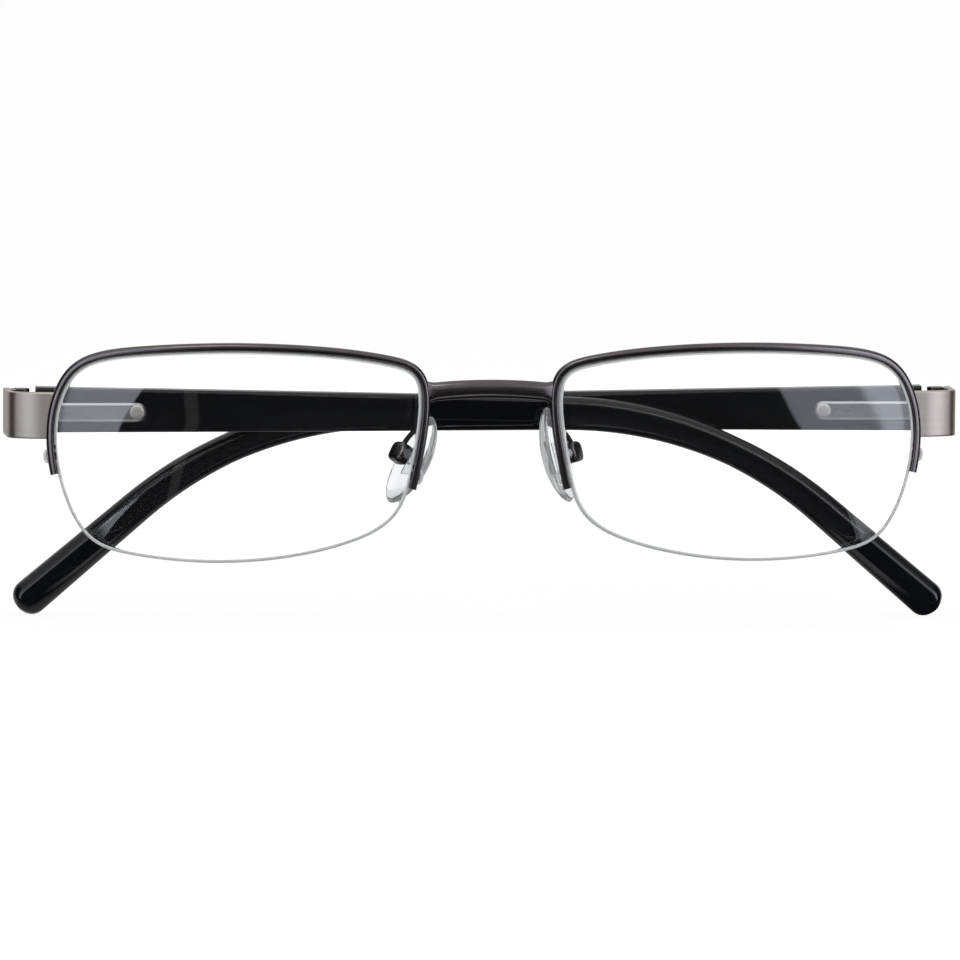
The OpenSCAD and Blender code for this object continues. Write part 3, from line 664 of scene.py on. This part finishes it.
def make_end_piece(s, side):
    """End piece: a thin plate section carried along a curve seen from above. It starts at the rim wire at
    each height, leaning out, follows a large arc and then a small one round the corner, and runs back as
    a side leg whose end has rounded corners."""
    edge_r, top_r, low_r = 0.2, 0.4, 1.0
    sunk, forward = 0.45, 0.6
    lip, squeeze = 0.12, 0.72
    lean, corner = np.radians([9, 28])
    depth = np.array([0, 0.03, 0.08, 0.14, 0.2, 0.35, 0.55, 0.8, 1.1])
    heights = np.concatenate([depth, np.linspace(1.5, s.plate_h - 1.5, 9), s.plate_h - depth[::-1]])
    to_edge = np.minimum(heights, s.plate_h - heights)
    drop = edge_r - np.sqrt(edge_r ** 2 - np.clip(edge_r - to_edge, 0, edge_r) ** 2)
    n = np.concatenate([-drop, (drop - s.plate_t)[::-1]])
    z = np.concatenate([heights, heights[::-1]]) + s.plate_low
    above = np.clip(top_r - (s.plate_low + s.plate_h - z), 0, top_r)
    below = np.clip(low_r - (z - s.plate_low), 0, low_r)
    shorter = (top_r - np.sqrt(np.maximum(0, top_r ** 2 - above ** 2))
               + low_r - np.sqrt(np.maximum(0, low_r ** 2 - below ** 2)))

    def way(a):
        return xyz(np.sin(a), -np.cos(a))

    large, small = np.linspace(lean, corner, 24), np.linspace(corner, np.pi / 2, 24)
    round_corner = way(small) * s.corner_r + [s.hinge_out - s.corner_r, 0]
    crowned = round_corner[0] + (way(large) - way(corner)) * s.crown_r
    wire = off_left_lens(s, np.linspace(*TEMPLE_SIDE, 400), s.rim_outer - sunk)
    wire_x = np.interp(z, wire[:, 2], wire[:, 0])
    first = open_frame(s, np.array([*crowned[0], 0.0]), "left")
    reach = (first[0] - wire_x) / np.cos(lean - s.splay)
    t_plate = t_at_height(s, s.hinge_z, TEMPLE_SIDE[0], 3)
    at_wire = off_left_lens(s, t_plate, s.rim_outer)
    bend_y = at_wire[1] - forward * s.plate_t - first[1] + reach.mean() * np.sin(lean - s.splay)
    still = np.linspace(1, 0, 9)[:-1, None, None]
    flat = crowned[0] - still * reach[:, None] * np.array([np.cos(lean), np.sin(lean)])
    rows = [row + n[:, None] * way(lean) + [0, bend_y] for row in flat]
    for c, a in zip(np.vstack([crowned, round_corner[1:]]), np.concatenate([large, small[1:]])):
        rows.append(c + n[:, None] * way(a) + [0, bend_y])
    for f in np.linspace(0, 1, 16)[1:]:
        run = bend_y + f * (s.wall_end - lip - shorter - bend_y)
        rows.append(xyz(s.hinge_out + n, run))
    half = s.plate_t / 2
    rows.append(xyz(s.hinge_out - half + (n + half) * squeeze, s.wall_end - shorter))
    rows = np.array(rows)
    rows = np.concatenate([rows, np.broadcast_to(z, rows.shape[:2])[..., None]], -1)
    piece = shell(f"{side}_end_plate", open_frame(s, rows, side))
    place(piece, "front", "brushed_plate", "brushed_plate", f"{side}_end_piece")


def make_lens(s, side):
    """Lens: rings from the middle of the front face out to the edge, over its bevels and its groove, and
    back to the middle of the rear face. Each ring lies on a ball round the same centre. The profile
    gives the edge's rings as insets from the outline and heights over the middle of the thickness."""
    t = np.linspace(0, SPANS, 340, endpoint=False)
    half = s.lens_t / 2
    middle = s.lens_r - half
    shares = [0.02, 0.2, 0.4, 0.6, 0.75, 0.87, 0.95]
    profile = [(0.4, half), (0.3, half), (0.06, half - 0.16), (0, half - 0.28), (0, 0.34), (0.35, 0.26)]
    profile += [(inset, -up) for inset, up in profile[::-1]]
    rings = ([(edge(s, t) * k, middle + half) for k in shares]
             + [(edge(s, t, -inset), middle + up) for inset, up in profile]
             + [(edge(s, t) * k, middle - half) for k in shares[::-1]])
    rows = [xyz(p[:, 0], s.ball_y - np.sqrt(ball ** 2 - (p ** 2).sum(1)), p[:, 1]) for p, ball in rings]
    piece = shell(f"{side}_clear_lens", lens_frame(s, np.array(rows), side), 50)
    place(piece, "front", "lens", "clear_lens", f"{side}_lens")
    piece.data.materials.append(finish("ground_edge"))
    ring = np.arange(len(piece.data.polygons)) // len(t)
    ground = (ring > len(shares)) & (ring < len(shares) + len(profile) - 2)
    piece.data.polygons.foreach_set("material_index", ground.astype(int))


def make_cords(s, side):
    """Upper cord: a tube between the wire's channel and the lens's groove. Lower cord: a tube in the
    groove under the lens, which leaves through a hole at each end, loops outside the wire and goes in.
    The stops give a loop's points as shares of the way between its holes and heights off the lens."""
    upper_off, end_gap, clear = 0.06, 0.8, 0.02
    holes = hole_places(s)
    t = np.linspace(holes[1] + t_step(s, holes[1], end_gap), holes[3] - t_step(s, holes[3], end_gap), 260)
    rows = tube(rim_points(s, t, upper_off, 0.0), UPPER_CORD_R, (0, 1, 0))
    upper = shell(f"{side}_upper_cord", lens_frame(s, rows, side))
    place(upper, "front", "cord", "nylon", f"{side}_liner")
    far = s.rim_outer + LOWER_CORD_R + clear
    turn = 0.28 / (HOLES_FROM_SIDE_END[1] - HOLES_FROM_SIDE_END[0])
    stops = np.array([[1, 0.1], [1, 0.5], [1, s.rim_outer - 0.1], [1 - turn, far],
                      [0.5, far + 0.1], [turn, far], [0, s.rim_outer - 0.1], [0, 0.5]])

    def loop(first, second):
        return rim_points(s, first + (second - first) * stops[:, 0], stops[:, 1], 0.0)

    low = rim_points(s, np.linspace(holes[2], holes[0] + SPANS, 220), 0.0, 0.0)
    path = np.vstack([smooth(np.vstack([loop(holes[2], holes[3]), low[:2]]))[:-1], low[1:-1],
                      smooth(np.vstack([low[-2:], loop(holes[0], holes[1])[::-1]]))[6:]])
    lower = shell(f"{side}_lens_cord", lens_frame(s, tube(path, LOWER_CORD_R, (0, 1, 0)), side))
    place(lower, "front", "cord", "nylon", f"{side}_lower_cord")


def make_pad(s, side):
    """Pad arm: a wire along a cubic curve, thicker where it is soldered on. Pad box: rounded square rings
    from its back over its mouth into its pocket, each given by its depth and its share of the outline.
    Pad: egg-shaped rings, domed towards the nose by a large ball and flat behind, each given by its share
    of the outline and its share of the thickness."""
    a = s.right_slant if side == "right" else s.left_slant
    t_arm = t_at_height(s, PAD_ARM_Z, *NOSE_SIDE)
    out, back = s.rim_gap + s.wire_w * 0.6, s.wire_d / 2 - SOLDER_SEAT
    root = off_left_lens(s, t_arm, out, back)
    up = np.array([-np.sin(a) * np.cos(s.pad_splay), np.sin(a) * np.sin(s.pad_splay), np.cos(a)])
    end = s.pad_box + up * (s.box_h / 2 - SOLDER_SEAT)
    first_handle, last_handle = root + [0.2, 2.6, 0.1], end + [-0.6, -0.6, 1.6]
    f = np.linspace(0, 1, 48)[:, None]
    path = ((1 - f) ** 3 * root + 3 * f * (1 - f) ** 2 * first_handle
            + 3 * f ** 2 * (1 - f) * last_handle + f ** 3 * end)
    solder, solder_run = 0.14, 0.05
    radius = PAD_ARM_R + solder * np.exp(-f[:, 0] / solder_run)
    arm = shell(f"{side}_pad_wire", on_side(tube(path, radius, (1, 0, 0), 18), side))
    place(arm, "front", "gunmetal", "gunmetal", f"{side}_pad_arm")

    q = around(40)
    power = 3.6
    square = (np.abs(np.cos(q)) ** power + np.abs(np.sin(q)) ** power) ** (-1 / power)
    y, z = s.box_w / 2 * square * np.cos(q), s.box_h / 2 * square * np.sin(q)
    d = s.box_d / 2
    rings = [(d, 0.02), (d, 0.55), (d - 0.04, 0.78), (d - 0.16, 0.9), (d - 0.36, 0.975), (d - 0.6, 1.0),
             (0.2 - d, 1.0), (0.06 - d, 0.975), (-d, 0.92), (-d, 0.86), (0.08 - d, 0.8), (0.3 - d, 0.77),
             (d - 0.5, 0.74), (d - 0.4, 0.6), (d - 0.38, 0.02)]
    rows = np.array([xyz(x, k * y, k * z) for x, k in rings])
    box = shell(f"{side}_pad_cup", pad_frame(s, rows, side), 60)
    place(box, "front", "gunmetal", "gunmetal", f"{side}_pad_box")

    q = around(96)
    narrower, raised, sag = 0.12, 0.2, 1.1
    egg = xyz(-s.pad_w / 2 * np.sin(q) * (1 - narrower * np.cos(q)), s.pad_l / 2 * np.cos(q))
    ball = (s.pad_l ** 2 / 4 + sag ** 2) / (2 * sag)
    rings = [(0.02, 0), (0.2, 0), (0.4, 0), (0.6, 0), (0.78, 0), (0.9, 0.02), (0.955, 0.12), (0.985, 0.28),
             (1.0, 0.5), (0.985, 0.74), (0.955, 0.9), (0.9, 0.985), (0.78, 1), (0.6, 0.94), (0.4, 0.9),
             (0.2, 0.88), (0.02, 0.88)]
    rows = []
    for k, deep in rings:
        p = egg * k
        near = ball - np.sqrt(ball ** 2 - (p ** 2).sum(1))
        x = -s.pad_reach - s.pad_t / 2 + near + deep * (s.pad_t - near)
        rows.append(xyz(x, p[:, 0], p[:, 1] + raised))
    pad = shell(f"{side}_soft_pad", pad_frame(s, np.array(rows), side), 60)
    place(pad, f"{side}_pad", "pad", "clear_pad", f"{side}_nose_pad")
    dress(side, "bright_steel", "pad_screw")
    dress(side, "clear_pad", "pad_core")


def droop(s, run):
    """Downward angle of the temple's middle line this far from the butt: it grows evenly in the bend."""
    bend = s.ear_r * s.ear_angle
    return np.radians(START_DROOP) + s.ear_angle * np.clip((run - s.straight) / bend, 0, 1)


def middle_line(s, run):
    """The temple's middle line: a straight stretch, an arc and a straight tip."""
    a, b = np.radians(START_DROOP), droop(s, run)
    flat = np.minimum(run, s.straight)
    tail = np.maximum(0, run - s.straight - s.ear_r * s.ear_angle)
    return xyz(s.butt_s + flat * np.cos(a) + s.ear_r * (np.sin(b) - np.sin(a)) + tail * np.cos(b),
               BUTT_Z - flat * np.sin(a) - s.ear_r * (np.cos(a) - np.cos(b)) - tail * np.sin(b))


def make_temple(s, side):
    """Temple: a rounded bar section carried along the middle line. Its height tapers to the waist and
    swells to the tip, its inner face is flat at the hinge and crowned by a parabola towards the tip, and
    the tip is rounded off by circles."""
    tip_r, tip_thin_r, outer_thin = 2.5, 1.2, 0.4
    edge_r, more_r, crown = 0.45, 1.0, 0.34
    steps = 8
    bend = s.ear_r * s.ear_angle
    whole = s.straight + bend + s.tip_run
    waist = s.straight + 0.62 * bend
    tip = tip_r * np.sin(np.linspace(0, 0.495 * np.pi, 16)[1:])
    run = np.concatenate([np.linspace(0, whole - tip_r, 190), whole - tip_r + tip])
    h = np.where(run < waist, s.butt_h + (s.waist_h - s.butt_h) * run / waist,
                 s.waist_h + (s.tip_h - s.waist_h) * (run - waist) / (whole - waist)) / 2

    def drawn_in(r):
        d = np.clip(run - whole + r, 0, r)
        return r - np.sqrt(r * r - d * d)

    h = h - drawn_in(tip_r)
    thin = drawn_in(tip_thin_r)
    soft = np.clip((run - 30) / (whole - 45), 0, 1)
    corner = np.minimum(edge_r + more_r * soft, 0.98 * h)
    rows = []
    for k in range(len(run)):
        low, high = s.inner_face + thin[k], s.hinge_out - outer_thin * thin[k]
        r = min(corner[k], 0.48 * (high - low))
        loop = fillet([(-h[k], low), (h[k], low), (h[k], high), (-h[k], high)], r, steps)
        face = np.linspace(loop[steps - 1, 0], loop[steps, 0], 12)[1:-1]
        loop = np.insert(loop, steps, xyz(face, low), 0)
        rise = crown * soft[k] * (loop[:, 0] / h[k]) ** 2 * (loop[:, 1] < (low + high) / 2)
        loop[:, 1] += rise * (high - loop[:, 1]) / (high - low)
        rows.append(loop)
    rows = np.array(rows)
    up, deep = rows[..., 0], rows[..., 1]
    m, a = middle_line(s, run), droop(s, run)[:, None]
    points = xyz(-m[:, :1] - up * np.sin(a), deep, m[:, 1:] + up * np.cos(a))
    piece = shell(f"{side}_temple_bar", temple_frame(s, points, side), 40)
    cut(piece, housing_pocket(s, side))
    place(piece, f"{side}_temple", "temple", "temple_black", f"{side}_temple")


def housing_pocket(s, side):
    """The room for the spring housing and its pin: a slot with one round end, through the butt."""
    play = 0.04
    q = np.linspace(np.pi / 2, 3 * np.pi / 2, 24)
    r = HOUSING_R + play
    round_end = xyz(-s.pin_s + r * np.cos(q), r * np.sin(q))
    x, z = np.vstack([[[0.0, -r], [0.0, r]], round_end]).T
    rows = [xyz(x, y, z + s.hinge_z) for y in (s.housing_out - 1, s.housing_in + play)]
    return shell(f"{side}_pocket", temple_frame(s, np.array(rows), side))


def make_hinge(s, side):
    """Hinge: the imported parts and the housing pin, a disc with a low dome that is let into the housing's
    round end. Its rings are given by their height over the dome's rim and their radius."""
    pin_r, proud = 1.17, 0.1
    face = s.housing_out - proud
    q = around(48)
    rings = [(-0.05, 0.02), (-0.045, 0.35), (-0.03, 0.65), (-0.01, 0.98), (0.03, 1.06), (0.12, 1.16),
             (0.2, pin_r), (s.housing_in - face, pin_r)]
    rows = [xyz(-s.pin_s + r * np.cos(q), face + y, s.hinge_z + r * np.sin(q)) for y, r in rings]
    piece = shell(f"{side}_rivet", temple_frame(s, np.array(rows), side), 50)
    place(piece, f"{side}_temple", "steel", "pin_steel", f"{side}_housing_pin")
    dress(side, "gunmetal", "front_hinge")
    dress(side, "satin_steel", "spring_housing")
    dress(side, "bright_steel", "hinge_screw", "hinge_tongue", "spring_stop", "hinge_spring")


# ---------------- stage


# What reflections see: edges as (start, full) in radians to the side or in the upward share of the
# direction, how much they lean with height, and strengths
ROOM_TURN = 0.037
PANEL = SimpleNamespace(inner=(0.4445, 0.4525), lean=0.6, outer=(0.62, 0.95), top=(0.25, 0.5), strength=2.2,
                        left_wider=0.08, left_less=0.6,
                        outer_part=(0.66, 0.69), outer_lean=0.7, outer_more=2.3)
STRIP = SimpleNamespace(start=(-0.297, -0.289), end=(-0.262, -0.254), strength=0.2)
WEDGE = SimpleNamespace(side=0.382, drop=0.233, low=0.8, high=1.15, soft=0.008,
                        start=(0, 0.03), end=(0.2, 0.3), strength=1.8)
BEHIND, BEHIND_STRENGTH = (0.3, 0.55), 0.53
UPPER_FRONT, UPPER_SIDES, UPPER_STRENGTH = (0.07, 0.3), (0.5, 0.85), 0.75
OVERHEAD, OVERHEAD_STRENGTH = (0.55, 0.85), 0.85
BELOW, BELOW_STRENGTH = (-0.995, -0.9), 0.8
DARK = 0.035
BLUISH = (0.84, 0.88, 1.0)

# The floor's half width in metres, its strengths straight and through a lens, the share that isn't lit,
# and how far beside the middle the room's directions start on it: the reflecting plates are there
FLOOR_HALF = 8
FLOOR_WHITE, FLOOR_MORE_THROUGH = 1.04, 0.3
FLOOR_UNLIT = 0.88
FLOOR_START = 0.053
PLAIN_LIGHT = 0.6


def lamp(name, at, size, power, glossy=True):
    """A square-cornered soft lamp in millimetres, turned towards the origin."""
    data = bpy.data.lights.new(name, "AREA")
    data.shape, data.size, data.size_y = "RECTANGLE", size[0] * MM, size[1] * MM
    data.energy = power
    made = bpy.data.objects.new(name, data)
    bpy.context.scene.collection.objects.link(made)
    made.location = Vector(at) * MM
    made.rotation_euler = (-Vector(at)).to_track_quat("-Z", "Y").to_euler()
    made.visible_camera = False
    made.visible_glossy = glossy


def camera():
    """The camera at the photograph's angle: it stands back from its aim, rolled, raised and turned, and is
    shifted by the way from the middle of the picture to where it looks."""
    turn, rise, roll = np.radians([CAMERA_TURN, CAMERA_RAISE, CAMERA_ROLL])
    data = bpy.data.cameras.new("camera")
    data.sensor_width = 36
    data.lens = FOCAL_PIXELS * data.sensor_width / PICTURE
    data.shift_x = (PICTURE / 2 - MIDDLE_PIXEL[0]) / PICTURE
    data.shift_y = (MIDDLE_PIXEL[1] - PICTURE / 2) / PICTURE
    data.clip_end = 100
    made = bpy.data.objects.new("camera", data)
    bpy.context.scene.collection.objects.link(made)
    made.matrix_world = (Matrix.Translation(Vector(CAMERA_AIM) * MM) @ Matrix.Rotation(turn, 4, "Z")
                         @ Matrix.Rotation(np.pi / 2 - rise, 4, "X") @ Matrix.Rotation(roll, 4, "Z")
                         @ Matrix.Translation((0, 0, CAMERA_FAR * MM)))
    bpy.context.scene.camera = made


def room(tree, way):
    """What reflections see in each direction: white behind, softer overhead and below, a soft upper front,
    and two bluish panels in front, whose inner edges lean apart downwards, with dark between them. The
    right panel's outer part is brighter. A faint strip and a wedge between the panels give the temples
    their narrow lights. Gives the strength and the colour."""
    x, y, z = (tree.axis(way, k) for k in range(3))
    turn = tree.math("ARCTAN2", x, y * -1) - ROOM_TURN
    off_middle = tree.math("ABSOLUTE", turn)
    left = tree.rise(turn, -0.1, 0.1)
    panel = (tree.rise(off_middle + z * PANEL.lean, *PANEL.inner)
             * tree.fall(off_middle - left * PANEL.left_wider, *PANEL.outer) * tree.fall(z, *PANEL.top))
    outer_part = tree.rise(turn + z * PANEL.outer_lean, *PANEL.outer_part)
    bright = PANEL.strength - left * PANEL.left_less + outer_part * PANEL.outer_more
    strip = tree.rise(turn, *STRIP.start) * tree.fall(turn, *STRIP.end) * STRIP.strength
    across, down = turn * -1 - WEDGE.side, z * -1 - WEDGE.drop
    wedge = (tree.rise(down - across * WEDGE.low, 0, WEDGE.soft)
             * tree.rise(across * WEDGE.high - down, 0, WEDGE.soft)
             * tree.rise(across, *WEDGE.start) * tree.fall(across, *WEDGE.end) * WEDGE.strength)
    behind = tree.rise(y, *BEHIND) * BEHIND_STRENGTH
    to_side = tree.math("ABSOLUTE", x)
    upper_front = tree.rise(z, *UPPER_FRONT) * tree.fall(to_side, *UPPER_SIDES) * UPPER_STRENGTH
    overhead = tree.rise(z, *OVERHEAD) * OVERHEAD_STRENGTH
    below = tree.fall(z, *BELOW) * BELOW_STRENGTH
    strength = panel * bright
    for part in (strip, wedge, behind, upper_front, overhead, below, DARK):
        strength = tree.larger(strength, part)
    return strength, tree.blend(tree.larger(panel, wedge).clamp(), WHITE, BLUISH)


def floor(low):
    """A pale floor at the lowest point: white to the camera and straight through the lenses, and with the
    room's light in reflections. Outside reflections, a share of lit floor is mixed in, with its
    shadow."""
    mesh = bpy.data.meshes.new("floor")
    square = [(x * FLOOR_HALF, y * FLOOR_HALF, low) for x, y in ((-1, -1), (1, -1), (1, 1), (-1, 1))]
    mesh.from_pydata(square, [], [(0, 1, 2, 3)])
    paint = bpy.data.materials.new("floor")
    paint.use_nodes = True
    tree = Shader(paint.node_tree)
    seen, glossy, through, bounced = tree.rays()
    here = tree.node("ShaderNodeTexCoord", output="Object")
    x, y, z = (tree.axis(here, k) for k in range(3))
    beside = tree.node("ShaderNodeCombineXYZ", {0: x - tree.math("SIGN", x) * FLOOR_START, 1: y, 2: z})
    way = tree.node("ShaderNodeVectorMath", {0: beside}, operation="NORMALIZE")
    strength, shade = room(tree, way)
    mirrored = tree.larger(glossy, through * bounced)
    shown = tree.node("ShaderNodeEmission", {
        "Color": tree.blend(mirrored, WHITE, shade),
        "Strength": (1 - mirrored) * (through * FLOOR_MORE_THROUGH + FLOOR_WHITE) + mirrored * strength})
    lit = tree.node("ShaderNodeBsdfDiffuse", {"Color": (0.86, 0.86, 0.86)})
    share = tree.larger((seen + through).clamp() * FLOOR_UNLIT, mirrored)
    mixed = tree.node("ShaderNodeMixShader", {0: share, 1: lit, 2: shown})
    tree.node("ShaderNodeOutputMaterial", {"Surface": mixed}, None)
    paint.cycles.emission_sampling = "NONE"
    mesh.materials.append(paint)
    piece = bpy.data.objects.new("floor", mesh)
    bpy.context.scene.collection.objects.link(piece)
    piece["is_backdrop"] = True


def world():
    """White to the camera and straight through the lenses, the room in reflections, and a plain soft
    light on what is matt."""
    made = bpy.data.worlds.new("studio")
    made.use_nodes = True
    tree = Shader(made.node_tree)
    seen, glossy, through, bounced = tree.rays()
    strength, shade = room(tree, tree.node("ShaderNodeTexCoord", output="Generated"))
    mirrored = tree.larger(glossy, through * bounced) * (1 - seen)
    plain = (1 - (seen + glossy + through).clamp()) * PLAIN_LIGHT
    sky = tree.node("ShaderNodeBackground", {
        "Color": tree.blend(mirrored, WHITE, shade),
        "Strength": seen + through * (1 - bounced) + mirrored * strength + plain})
    tree.node("ShaderNodeOutputWorld", {"Surface": sky}, None)
    made.cycles.sampling_method = "NONE"
    bpy.context.scene.world = made


# ---------------- operators


def on_each_side(make):
    """Makes the pieces of both sides and gives the operator's answer."""
    s = sizes()
    for side in SIDES:
        make(s, side)
    return {"FINISHED"}


class Builder:
    """What the builders share."""

    bl_options = {"REGISTER", "UNDO"}


class GLASSES_OT_stage(Builder, Operator):
    """Sets up the camera, the floor, the world and the lamps"""

    bl_idname = "glasses.stage"
    bl_label = "Stage"

    def execute(self, context):
        context.scene.view_settings.view_transform = "Standard"
        camera()
        floor(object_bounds()[0][2])
        world()
        lamp("key", (-250, -800, 700), (260, 160), 0.9)
        lamp("front_fill", (200, -1000, 500), (800, 500), 1.2, glossy=False)
        lamp("top", (0, 100, 900), (1200, 500), 2.4, glossy=False)
        return {"FINISHED"}


class GLASSES_OT_bridge(Builder, Operator):
    """Builds the bridge"""

    bl_idname = "glasses.bridge"
    bl_label = "Bridge"

    def execute(self, context):
        make_bridge(sizes())
        return {"FINISHED"}


class GLASSES_OT_rims(Builder, Operator):
    """Builds the rim wires with their cord holes"""

    bl_idname = "glasses.rims"
    bl_label = "Rims"

    def execute(self, context):
        return on_each_side(make_rim)


class GLASSES_OT_end_pieces(Builder, Operator):
    """Builds the brushed end pieces"""

    bl_idname = "glasses.end_pieces"
    bl_label = "End pieces"

    def execute(self, context):
        return on_each_side(make_end_piece)


class GLASSES_OT_lenses(Builder, Operator):
    """Builds the lenses"""

    bl_idname = "glasses.lenses"
    bl_label = "Lenses"

    def execute(self, context):
        return on_each_side(make_lens)


class GLASSES_OT_cords(Builder, Operator):
    """Builds the nylon cords that hold the lenses"""

    bl_idname = "glasses.cords"
    bl_label = "Cords"

    def execute(self, context):
        return on_each_side(make_cords)


class GLASSES_OT_pads(Builder, Operator):
    """Builds the nose pads, their boxes and their arms"""

    bl_idname = "glasses.pads"
    bl_label = "Nose pads"

    def execute(self, context):
        return on_each_side(make_pad)


class GLASSES_OT_hinges(Builder, Operator):
    """Builds the housing pins and finishes the hinges and spring housings"""

    bl_idname = "glasses.hinges"
    bl_label = "Hinges"

    def execute(self, context):
        return on_each_side(make_hinge)


class GLASSES_OT_temples(Builder, Operator):
    """Builds the temples"""

    bl_idname = "glasses.temples"
    bl_label = "Temples"

    def execute(self, context):
        return on_each_side(make_temple)


BUILDERS = (GLASSES_OT_rims, GLASSES_OT_bridge, GLASSES_OT_end_pieces, GLASSES_OT_lenses, GLASSES_OT_cords,
            GLASSES_OT_pads, GLASSES_OT_hinges, GLASSES_OT_temples, GLASSES_OT_stage)
GROUPS = {"glasses_front": FrontSizes, "glasses_temples": TempleSizes, "glasses_pads": PadSizes,
          "glasses_finishes": Finishes}


class GLASSES_PT_panel(Panel):
    """Lists the builders"""

    bl_label = "Reading glasses"
    bl_idname = "GLASSES_PT_panel"
    bl_space_type = "VIEW_3D"
    bl_region_type = "UI"
    bl_category = "Glasses"

    def draw(self, context):
        for builder in BUILDERS:
            self.layout.operator(builder.bl_idname)


def register():
    for kind in (*GROUPS.values(), *BUILDERS, GLASSES_PT_panel):
        bpy.utils.register_class(kind)
    for name, kind in GROUPS.items():
        setattr(bpy.types.Scene, name, PointerProperty(type=kind))


def unregister():
    for name in GROUPS:
        delattr(bpy.types.Scene, name)
    for kind in (GLASSES_PT_panel, *BUILDERS[::-1], *list(GROUPS.values())[::-1]):
        bpy.utils.unregister_class(kind)


def corners(box):
    return [list(corner) for corner in box]


def main():
    register()
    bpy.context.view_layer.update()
    for builder in BUILDERS:
        getattr(bpy.ops.glasses, builder.bl_idname.split(".")[1])()


if __name__ == "__main__":
    main()
